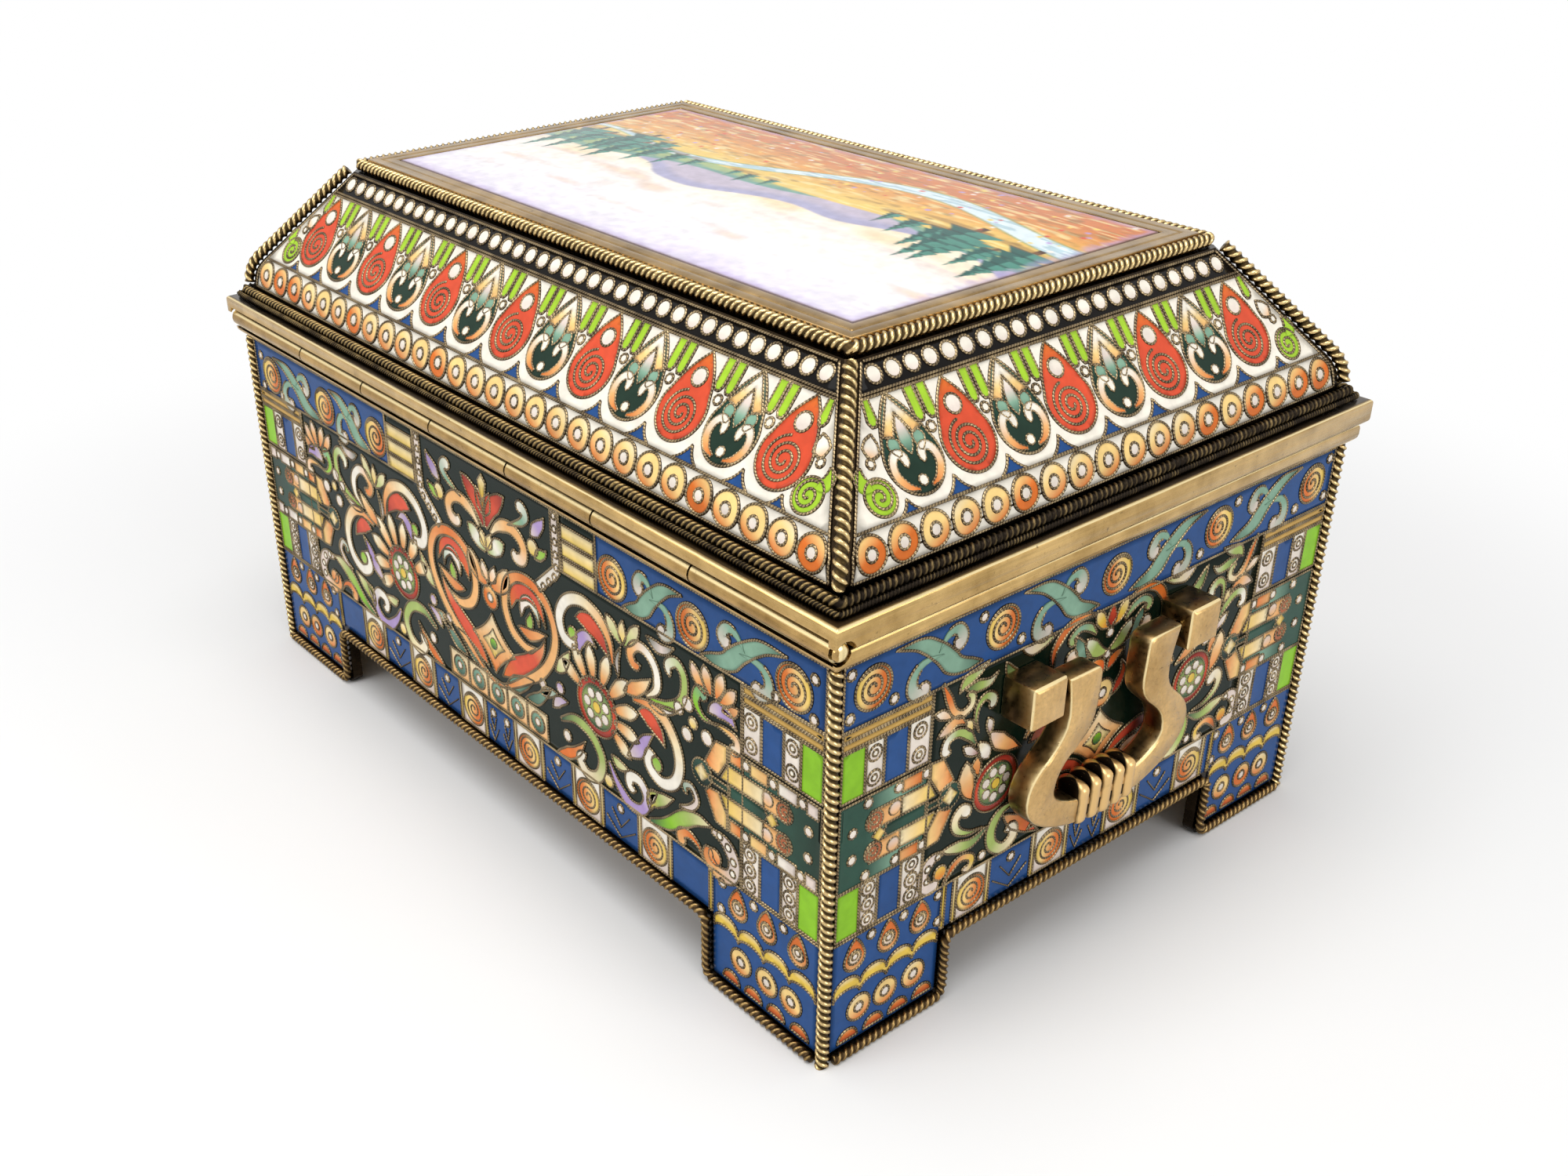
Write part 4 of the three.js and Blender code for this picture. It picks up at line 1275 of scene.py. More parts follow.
@dataclass
class Lid:
    """The lid: bent enamelled plates, hip ropes, the plaque in its frame and the rim."""

    finishes: Finishes
    hip_rope: float = 1.7
    top_rope: float = 1.8
    base_rope: float = 1.4
    bead_wire: float = 0.8
    rope_bed: float = 1.9
    hip_bed: float = 0.4
    hip_gap: float = 0.3
    solder: float = 0.05
    hip_crest: float = 1.15
    top_crest: float = 1.0
    base_crest: float = 0.85
    bead_crest: float = 0.5
    # shares of the painted crest highlight: the base rope's and the beaded wire's on the short sides, and the
    # beaded wire's all round
    base_end_highlight: float = 0.42
    bead_end_highlight: float = 0.6
    bead_highlight: float = 0.55
    base_proud: float = 0.1
    bead_proud: float = 0.25
    corner_round: float = 0.5
    frame_ease: float = 0.15
    rim_ease: float = 0.2

    def build(self) -> None:
        """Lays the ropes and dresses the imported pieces."""
        ropes = Ropes(self.finishes)
        self.hip_ropes(ropes)
        self.frame_ropes(ropes)
        self.dress()

    def hip_ropes(self, ropes: Ropes) -> None:
        """Ropes down the hips.

        Args:
            ropes: the maker of ropes.
        """
        profile, run = LidFace(Side.BACK).profile()
        base = box_of("lid_back")[0][2]
        lift = self.hip_rope / 2 * OCTAGON + self.solder - self.hip_bed
        start = np.interp(self.rope_bed + self.hip_gap, profile[:, 1], run)
        marks = np.linspace(start, run[-1] - self.hip_gap, 60)
        inset, rise = (np.interp(marks, run, column) for column in profile.T)
        for corner, (sx, sy) in CORNERS.items():
            x, y = sx * (wall_reach(Side.RIGHT) - inset), sy * (wall_reach(Side.BACK) - inset)
            line = np.stack([x, y, base + rise], 1)
            level = np.array([sx, -sy, 0]) / math.sqrt(2)
            above = np.cross(tangents(line), level)
            above *= np.sign(above[:, 2:])
            cloth = ropes.cloth(line + above * lift, self.hip_rope, self.hip_crest, False, level)
            ropes.lay(f"hip_rope_{corner}", cloth, self.finishes.rope, "lid")

    def frame_ropes(self, ropes: Ropes) -> None:
        """Ropes round the plaque and round the foot of the lid.

        Args:
            ropes: the maker of ropes.
        """
        low, high = box_of("top_rope")
        r = self.top_rope / 2 * OCTAGON
        line = self.frame_line(high - r, (low[2] + high[2]) / 2)
        ropes.lay("top_rope", ropes.cloth(line, 2 * r, self.top_crest, True, UP), self.finishes.rope, "lid")
        low, high = box_of("base_rope")
        r = self.base_rope / 2
        line = self.frame_line(high - self.rope_bed * OCTAGON + r + self.base_proud, high[2] - r)
        cloth = ropes.cloth(line, 2 * r, self.base_crest, True, UP, self.base_end_highlight)
        ropes.lay("base_rope", cloth, self.finishes.dark_rope, "lid")
        r = self.bead_wire / 2
        line = self.frame_line(high - r + self.bead_proud, low[2] + r)
        cloth = ropes.cloth(line, 2 * r, self.bead_crest, True, UP, self.bead_end_highlight)
        # the beaded wire's painted crest highlight, kept low all round
        cloth.values = [v * self.bead_highlight for v in cloth.values]
        piece("beaded_base_wire", cloth, self.finishes.dark_rope, "lid")

    def frame_line(self, reach: Points, z: float) -> Points:
        """A rectangle round the lid, its corners eased.

        Args:
            reach: half its length and half its width.
            z: its height.

        Returns:
            Its line.
        """
        corners = [[sx * reach[0], sy * reach[1], z] for sx, sy in CORNERS.values()]
        return rounded(np.array(corners), self.corner_round, True)

    def dress(self) -> None:
        """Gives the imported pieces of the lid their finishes."""
        finish(["plaque_frame"], self.finishes.gilt, self.frame_ease)
        finish(["hinge_pin"] + [f"knuckle_{i}" for i in (1, 3, 5, 7)], self.finishes.hinge)
        finish(["lid_rim"], self.finishes.rim, self.rim_ease)
        finish([f"lid_{side.label}" for side in Side], self.finishes.backing)


@dataclass
class LidOrnament:
    """The enamel of one lid plate: beads, drops and palmettes over a row of ringed dots."""

    side: Side
    finishes: Finishes
    face_length: float = 24.0
    band_top: float = 22.75
    bead_row: float = 21.2
    bead: float = 2.1
    bead_pitch: float = 2.66
    line_top: float = 19.6
    bed_low: float = 19.0
    line_low: float = 6.5
    dot_row: float = 4.15
    dot: float = 4.0
    dot_pitch: float = 4.42
    line_base: float = 1.9
    knee: float = 4.5
    hip_clear: float = 1.75
    hip_wire: float = 1.5
    long_pitch: float = 8.38
    short_pitch: float = 8.1
    short_shift: float = -0.15
    bar_low: float = 15.1
    end_bar_low: float = 16.0

    def build(self) -> None:
        """Draws the plate and makes its enamel and wires."""
        self.face = LidFace(self.side)
        half = self.face.half(0)
        self.sheet = Sheet(self.face, (-half, 0, half, self.face_length), 40 + self.side.value)
        self.grounds()
        self.beads()
        self.row()
        self.dots()
        name = f"lid_{self.side.label}"
        piece(f"enamel_{name}", self.sheet.cells, self.finishes.enamel, "lid")
        piece(f"wires_{name}", self.sheet.wire_cloth(), self.finishes.wire, "lid")

    def edge(self, b: float) -> float:
        """Half length of the enamel at a distance up the face, short of the hip ropes."""
        return self.face.half(b) - self.hip_clear

    def grounds(self) -> None:
        """White grounds, the dark bed of the beads and the lines between them."""
        for low, high, colour in ((self.line_base, self.line_low, E.WHITE),
                                  (self.line_low, self.bed_low, E.WHITE),
                                  (self.bed_low, self.band_top - 0.05, E.BLACK)):
            p, q = self.edge(low), self.edge(high)
            ground = np.array([[-p, low], [p, low], [q, high], [-q, high]])
            self.sheet.patch(ground, tint(colour), 0, False, 1.4)
        for b in (self.line_base, self.line_low, self.line_top - 0.15, self.line_top - 0.55, self.band_top):
            p = self.edge(b)
            self.sheet.wire(np.array([[-p, b], [p, b]]))

    def beads(self) -> None:
        """A row of white beads under the plaque."""
        span = self.edge(self.bead_row) - self.bead * 0.75
        for a in np.linspace(-span, span, int(2 * span / self.bead_pitch) + 1):
            self.sheet.disc(a, self.bead_row, self.bead / 2, tint(E.SHELL, E.WHITE, E.WHITE))

    def dots(self) -> None:
        """A row of ringed dots along the foot."""
        span = self.edge(self.dot_row) - self.dot * 0.6
        for a in np.linspace(-span, span, int(round(2 * span / self.dot_pitch)) + 1):
            ringed_dot(self.sheet, a, self.dot_row, self.dot / 2, 1, 0.5 if self.side.long else -0.5)

    def row(self) -> None:
        """Drops and palmettes in turn, with green bars between them and buds at the ends."""
        sheet = self.sheet
        if self.side.long:
            places = [(k * self.long_pitch, k % 2 == 0) for k in range(-6, 7)]
        else:
            places = [((k - 3.5) * self.short_pitch + self.short_shift, k % 2 == 1) for k in range(8)]
        for a, red in places:
            if red:
                self.red_drop(a)
            else:
                self.palmette(a)
        pitch = places[1][0] - places[0][0]
        joints = [a + pitch / 2 for a, _ in places[:-1]]
        end = self.edge(self.line_top) + 1.1
        for a in joints + [-end, end]:
            self.bars(a, self.end_bar_low if abs(a) == end else self.bar_low)
        for a in joints:
            self.peak(a)
            sheet.disc(a, 14.2, 0.55, tint(E.WHITE), 2)
        for sheet.hand in (1, -1):
            self.bud()
            heights = (self.line_base, self.knee, self.band_top)
            sheet.wire(np.array([[self.face.half(b) - self.hip_wire, b] for b in heights]))
        sheet.hand = 1

    def red_drop(self, a: float) -> None:
        """A red drop with a wire spiral and a white bead at its point.

        Args:
            a: its middle line.
        """
        self.sheet.patch(drop(a, 7.95, 7.4, 10.9), tint(E.RED, E.RED, E.RED, E.ORANGE), 1, True, 0.7)
        self.sheet.disc(a, 15.7, 1.1, tint(E.SHELL, E.WHITE), 2)
        self.sheet.wire(spiral(a, 11.3, 2.75, 2.75, 100))

    def palmette(self, a: float) -> None:
        """A pointed palmette: a leaf under a pale chevron, two white volutes on a dark ground.

        Args:
            a: its middle line.
        """
        sheet = self.sheet
        sheet.patch(drop(a, 7.8, 7.7, 11.3), tint(E.MOSS, E.MOSS, E.PINE, E.SAGE), 1, True, 0.7)
        chevron = np.array([[-2.72, 14.7], [-1.35, 14.3], [0, 16.9], [1.35, 14.3], [2.72, 14.7], [0, 18.7]])
        sheet.patch(chevron + np.array([a, 0]), tint(E.PEACH, E.APRICOT, E.WHITE, E.WHITE), 2, True, 0.5)
        sheet.fine = 0.72
        for part in PALMETTE:
            for sheet.hand in (1, -1):
                part.draw(sheet, a * sheet.hand)
        sheet.hand = 1
        sheet.scroll(along(np.array([[a, 12.2], [a, 16.6]]), 0.3), 1.8, Taper.LEAF,
                     tint(E.PINE, E.SAGE, E.SHELL, E.WHITE), 3)
        sheet.disc(a, 9.3, 0.6, tint(E.WHITE), 3)
        sheet.fine = 1.0

    def bars(self, a: float, low: float) -> None:
        """A pair of green bars hung from the upper line; one beside a hip is cut off along it.

        Args:
            a: the pair's middle line.
            low: height of its lower end.
        """
        high = self.bed_low
        for middle in (a - 0.86, a + 0.86):
            if abs(middle) > self.edge(high):
                continue
            shape = np.array([[-0.64, high], [-0.64, low + 0.6], [-0.3, low],
                              [0.3, low], [0.64, low + 0.6], [0.64, high]])
            limit = np.array([self.edge(b) for b in shape[:, 1]])
            shape[:, 0] = np.clip(shape[:, 0] + middle, -limit, limit)
            self.sheet.patch(shape, tint(E.LIME), 2, True, 0.6)

    def bud(self) -> None:
        """A green bud with a wire spiral, a white leaf and a dot at the end of the row."""
        sheet, middle = self.sheet, np.array([self.face.half(9.0) - 5.15, 9.1])
        a, b = middle
        sheet.disc(a, b, 2.0, tint(E.LIME))
        tail = smooth(middle + np.array([[0.5, 0.9], [1.45, 1.7], [1.5, 2.6], [0.95, 3.5]]))
        sheet.scroll(tail, 1.9, Taper.LEAF, tint(E.LIME), 2, 0.45)
        sheet.wire(spiral(a, b, 1.7, 1.7, 70))
        leaf = smooth(middle + np.array([[-0.8, 3.9], [-1.4, 4.9], [-2.2, 6.3]]))
        sheet.scroll(leaf, 2.2, Taper.LEAF, tint(E.PEACH, E.WHITE, E.WHITE))
        sheet.disc(a - 0.6, b + 3.5, 0.5, tint(E.WHITE), 2)
        self.peak(a - 3.0, 1.4)

    def peak(self, a: float, wide: float = 2.0) -> None:
        """A blue peak with hollow sides between two scallops, on the lower line.

        Args:
            a: its middle line.
            wide: half its width.
        """
        curve = bend(np.array([1.0, 0.0]), np.array([0.3, 0.3]), np.array([0.0, 1.0]), 6)
        outline = np.concatenate([curve, (curve * np.array([-1, 1]))[-2::-1]]) * np.array([wide, wide * 1.05])
        self.sheet.patch(outline + np.array([a, self.line_low + 0.1]), tint(E.BLUE), 1, True, 0.5)


def ringed_dot(sheet: Sheet, a: float, b: float, radius: float, layer: int = 1, lean: float = 0.3) -> None:
    """A dot shaded from orange to apricot, with a white eye in a ring of wire.

    Args:
        sheet: the face that it is on.
        a: middle, to the right.
        b: middle, upwards.
        radius: its radius.
        layer: its layer.
        lean: how far the light side lies to the right.
    """
    stops = ((E.ORANGE, E.ORANGE, E.APRICOT), (E.ORANGE, E.APRICOT, E.APRICOT),
             (E.ORANGE, E.PEACH, E.APRICOT, E.CREAM))
    sheet.disc(a, b, radius, Tint(stops[sheet.random.choice(len(stops))], (lean, 0.85)), layer)
    sheet.disc(a, b, radius * 0.37, tint(E.SHELL, E.WHITE), layer + 1)


def spiral_dot(sheet: Sheet, a: float, b: float, radius: float, layer: int = 1) -> None:
    """A round cell shaded from orange to cream, with a wire spiral."""
    sheet.disc(a, b, radius, tint(E.ORANGE, E.ORANGE, E.APRICOT, E.YELLOW, along=(0.9, 0.25)), layer)
    sheet.wire(spiral(a, b, radius * 0.92, 2.4, 40))


def small_dot(sheet: Sheet, a: float, b: float, radius: float = 0.6, layer: int = 2) -> None:
    """A small white dot in its ring."""
    sheet.disc(a, b, radius, tint(E.SHELL, E.WHITE), layer)


def rosette(sheet: Sheet, a: float, b: float, radius: float) -> None:
    """A ring of red round a cluster of white dots.

    Args:
        sheet: the face that it is on.
        a: middle, to the right.
        b: middle, upwards.
        radius: the ring's outer radius.
    """
    sheet.disc(a, b, radius, tint(E.WINE, E.RED, E.WINE), 2)
    sheet.disc(a, b, radius * 0.75, tint(E.PINE, E.LEAF, E.PINE), 3)
    for turn in range(7):
        angle = math.radians(turn * 360 / 7 + 20)
        across, up = radius * 0.48 * math.cos(angle), radius * 0.48 * math.sin(angle)
        small_dot(sheet, a + across, b + up, radius * 0.17, 4)
    sheet.disc(a, b, radius * 0.19, tint(E.YELLOW), 4)


def diamond(sheet: Sheet, b: float, wide: float, tall: float) -> None:
    """A hollow-sided diamond on the middle line, with a gem in it.

    Args:
        sheet: the face that it is on.
        b: height of its middle.
        wide: half its width.
        tall: half its height.
    """
    for share, colours, layer in ((1.0, (E.ORANGE, E.PEACH, E.CREAM), 2), (0.5, (E.YELLOW, E.CREAM), 3)):
        corners = np.array([[wide, 0], [0, tall], [-wide, 0], [0, -tall]]) * share
        ends = np.roll(corners, -1, axis=0)
        sides = [bend(p, (p + q) / 2 * 0.72, q, 8, False) for p, q in zip(corners, ends)]
        sheet.patch(np.concatenate(sides) + np.array([0, b]), Tint(colours), layer, True, 0.7)
    sheet.disc(0, b, 0.8, tint(E.PINE, E.GREEN), 4)


@dataclass(frozen=True)
class Leaf:
    """A cell of a design: a leaf or scroll along a line through points in mm, or a berry at one point."""

    line: tuple[tuple[float, ...], ...]
    width: float
    taper: Taper
    stops: tuple[Enamel, ...]
    layer: int = 1
    joined: float = 0.0

    @classmethod
    def read(cls, table: str) -> list["Leaf"]:
        """Reads a design.

        Args:
            table: a row per leaf: taper, width, layer and colours, a colon, then its points; a berry is
                a band of one point, with its radius as width. A row runs on after a comma.

        Returns:
            The leaves, in the table's order.
        """
        made = []
        for row in re.sub(r",\s+", ",", table.strip()).splitlines():
            head, points = row.split(":")
            taper, width, layer, *colours = head.upper().split()
            line = tuple(tuple(float(v) for v in point.split()) for point in points.split(","))
            made.append(cls(line, float(width), Taper[taper], tuple(E[c] for c in colours), int(layer)))
        return made

    def draw(self, sheet: Sheet, a: float = 0.0, b: float = 0.0, wide: float = 1.0,
             tall: float = 1.0) -> None:
        """Draws it on a face.

        Args:
            sheet: the face's drawing.
            a: shift to the right.
            b: shift upwards.
            wide: stretch to the right.
            tall: stretch upwards.
        """
        line = np.array(self.line) * np.array([wide, tall]) + np.array([a, b])
        shade = Tint(self.stops)
        if len(line) == 1:
            sheet.disc(*line[0], self.width, shade, self.layer)
        else:
            sheet.scroll(smooth(line), self.width, self.taper, shade, self.layer, self.joined)


ACANTHUS = (
    Leaf(((-7.1, -2.8), (-2.8, -1.9), (-0.1, 0.4), (3.1, 2.4), (7.2, 3.1)),
         2.6, Taper.LEAF, (E.PINE, E.SAGE, E.SAGE, E.SAGE, E.PINE)),
    Leaf(((0.4, 0.6), (-1.0, 2.2), (-2.6, 2.4), (-3.3, 1.1), (-2.1, 0.4)),
         2.0, Taper.COMMA, (E.SAGE, E.SAGE, E.SHELL), 2, 0.38),
    Leaf(((-0.5, 0.2), (2.7, 0.2), (4.2, -1.0), (4.2, -2.6), (2.7, -3.2), (2.1, -2.1)),
         2.0, Taper.COMMA, (E.SAGE, E.SAGE, E.SHELL), 2, 0.38),
)
PALMETTE = Leaf.read("""
    volute 1.25 3 orange peach white white: 0.9 8.5, 2.2 9.1, 3.05 10.4, 2.95 11.8, 2.15 12.65,
        1.3 12.2, 1.2 11
    petal 1.7 2 pine sage sage: 1.5 12.3, 1.75 13.3, 1.9 14.6
""")
LONG_DESIGN = Leaf.read("""
    petal 2.6 2 wine red wine: 0.3 44.3, 1.4 46.8, 3 48.6, 5 50.2
    leaf 2 1 wine red: 0.2 45.9, 0.8 47.7, 1.6 49.5
    volute 2.2 2 cream peach peach white: 1.4 43.9, 3.2 45.5, 5.5 46.3, 7.6 45.9, 8.9 44.5, 8.4 42.8,
        6.9 42.6, 6.5 43.6
    comma 1.7 2 leaf sage white: 5.5 46.6, 7.3 47.4, 8.9 48.2, 9.8 49.3, 8.9 50.2, 7.9 49.7
    leaf 2 2 shell lavender lavender: 10.7 47, 12.1 48.4, 13.2 49.5, 13.8 50.5
    leaf 1.6 1 leaf green: 11.4 44.1, 12.5 45, 13.5 45.5, 14 46.1
    petal 2.5 2 leaf white leaf: 0.3 40.8, 1.6 41.5, 2.9 42.5, 4.3 43.4
    leaf 1.7 3 yellow cream: 0.2 41.1, 0.8 42.5, 1.2 43.6
    petal 2.9 2 orange peach cream: 0.5 35.7, 2.1 36.4, 3.5 37.7, 4.6 39.8
    leaf 1.8 2 peach white: 0.2 36.4, 1 37.5, 1.5 39.1
    volute 2 2 orange peach peach orange peach peach: 0.3 20.9, 3 21.8, 7.1 24.5, 11.4 27.7, 14.1 31.4,
        14.9 35, 13.4 38.4, 10.3 40, 7.1 39.8, 4.4 38, 3.5 34.5, 4.8 31.4, 8 30, 10.7 30.9
    leaf 3 2 orange red red peach: 1.6 22.7, 4.8 25.5, 8.5 28, 11.4 30.7, 12.6 33.2
    leaf 2.5 2 orange red red orange: 5 34.5, 6 37, 8.7 38.3, 11.4 37.5, 12.9 34.8
    leaf 1.6 2 shell white sage: 7.3 34.3, 7.9 36.4, 9.5 37.3, 11 36.1, 11.4 34.3
    leaf 1.7 2 leaf green: 8.5 33.1, 9.3 34.3, 9.5 35.7
    leaf 1.8 2 orange peach: 6.4 32.5, 8.9 32.3, 11 33, 13.1 33.9
    leaf 2 2 leaf cream leaf: 14.6 29.5, 15.7 30.5, 17.1 32.3, 18 33.9
    leaf 2.6 1 sage pine: 2.5 21.8, 5.3 23.2, 7.5 24.5, 9.4 25.5
    leaf 1.8 1 pine sage: 7.1 22, 9.8 23, 11.6 24.5, 13.2 25.9
    leaf 1.6 1 shell sage: 10.7 24.5, 13 25.5, 14.8 26.1
    leaf 1.6 1 shell lavender: 13.5 23.6, 15 25.2, 17.1 25.9
    volute 2.2 2 orange peach cream white white white: 27.1 36.1, 26.5 39.1, 24.4 41.4, 21 42.2,
        17.8 40.9, 16.1 38.2, 16.7 35.7, 18.7 35.2, 19.4 36.6
    leaf 2.9 2 red red wine: 19.6 39.5, 21.9 39.8, 24.4 38.9, 26.4 36.6
    leaf 2 1 lavender lavender shell: 19.8 34.3, 20.3 36.4, 21.9 37.7, 23.9 36.8
    volute 2.2 2 orange peach cream white white white: 31 33.1, 33.9 33.7, 36.9 33.2, 39 30.9, 39.7 28,
        38.7 25.2, 36.2 23.9, 33.9 25, 33.8 26.8, 35.2 27.2
    leaf 2.6 2 red red wine: 31.9 32, 33.9 32, 35.7 30.9, 37 29.3
    leaf 2.2 1 shell lavender lavender: 29.4 24.3, 31.6 26.1, 33.2 28.4, 34.8 30
    petal 1.8 2 leaf cream: 29.1 39.8, 27.8 40.8, 26 42.6
    leaf 1.6 3 yellow cream: 29.3 39.8, 29.2 41.4, 29.3 43.1
    petal 1.8 2 leaf cream: 29.5 39.8, 30.7 41.1, 32.5 43.6
    leaf 1 1 shell pine: 28.1 34.8, 27.9 37, 28.8 39.3
    leaf 1.6 1 pine shell pine: 33.9 43, 35.7 42.4, 37.3 42.6, 39.1 43.6
    volute 1.8 2 cream white white peach orange: 33.7 34.8, 35.6 36.6, 35.6 39.1, 33.9 40.8, 31.9 40.8,
        30.6 39.3, 31.4 38, 32.6 38.4
    leaf 2.1 2 orange peach cream: 29.1 33.4, 31 34.5, 32.8 35.7, 34.6 37.5
    volute 1.7 2 green leaf leaf white: 34.4 34.8, 38 35.5, 40.4 37.5, 40.8 40.5, 39.4 41.9, 37.8 40.9,
        38.2 39.5
    leaf 1.3 1 shell white: 34.1 34, 36.6 34.3, 39.8 35.5
    petal 1.7 2 orange peach shell: 44.6 40.2, 43.2 41.6, 42 43.4
    petal 1.8 2 orange peach white: 45.5 40.5, 45 41.8, 44.3 43.9
    petal 1.8 2 orange peach white: 46.4 40.5, 46.9 42, 47.6 44.1
    petal 1.7 2 orange peach shell: 47.1 40.2, 48.5 41.4, 49.8 43
    petal 1.4 2 wine peach: 47.5 39.5, 49.1 40, 50.3 40.9
    leaf 2.1 2 shell lavender lavender: 45 38.1, 46.4 39.1, 48.5 39.1, 50 38
    comma 1.7 2 leaf green sage: 46.2 37, 44.1 37, 42.8 38.5, 43.5 40.1, 44.8 39.5
    comma 1.4 2 yellow peach white: 45.5 37, 47.8 37.2, 49.8 36.8, 50 35.5, 48.7 35.1
    volute 2.1 2 pine leaf leaf cream white: 15.3 22.7, 18.5 24.2, 21.9 23.6, 24 20.9, 23.2 18,
        20.7 17, 19.1 18.6, 20.5 19.9
    leaf 1.8 1 orange orange peach: 13.9 17, 16.4 18, 18.7 19.5, 20.5 21.8
    volute 2 2 lavender lavender lavender white white: 25.5 21.4, 27.1 19.1, 29.6 17.3, 32.1 17.7,
        33.2 19.8, 31.9 21.7, 29.8 21.4, 29.8 19.9, 31 19.8
    leaf 1.6 1 leaf cream: 26.1 22.7, 27.5 22, 29.7 22.2
    leaf 2.3 2 yellow leaf cream: 33.7 18.4, 34.1 20.2, 36.2 21.4, 38.5 22.7
    leaf 1.6 2 cream white: 33.7 19.5, 34.1 20.9, 35.3 22
    petal 2.3 2 pine green leaf cream: 33.7 17, 37.1 18.4, 40 20.7, 42.8 22.2, 45.6 22.6
    volute 2.6 2 shell shell shell peach orange: 45.6 22.2, 48 21.8, 49.6 19.8, 49 17.5, 46.6 16.8,
        44.9 18.1, 45.4 19.6
    comma 1.7 2 orange orange peach: 44.1 17, 43 18.6, 41.2 19.2, 39.7 18.4, 40.2 17
    volute 1.2 1 shell shell sage: 39.6 22.4, 41.6 23.2, 42.8 24.8, 41.9 26.3, 40.5 25.8, 41 24.8
    band 0.9 3 leaf green: 18.8 36.8
    band 1 3 leaf green: 35.3 26.1
    band 1.1 3 yellow cream: 11 45.5
    band 0.9 3 yellow cream: 25.3 18.4
    band 0.9 3 shell white: 41.4 37.4
    band 0.75 3 yellow cream: 42.3 35.3
    band 0.95 3 shell white: 44.8 34.5
    band 0.9 3 shell white: 41.2 33.3
    band 0.8 3 shell white: 39.7 36.1
    band 1.1 3 orange peach: 46.1 18.7
    band 0.5 3 white: 47 22.2
    band 0.5 3 white: 48.5 21.4
    band 0.5 3 white: 49.4 19.8
    band 0.5 3 white: 49.3 18.1
    band 0.8 3 shell white: 16.5 20.7
    band 0.7 3 shell: 11.4 26.1
    band 0.8 3 shell lavender: 15.4 27.3
""")
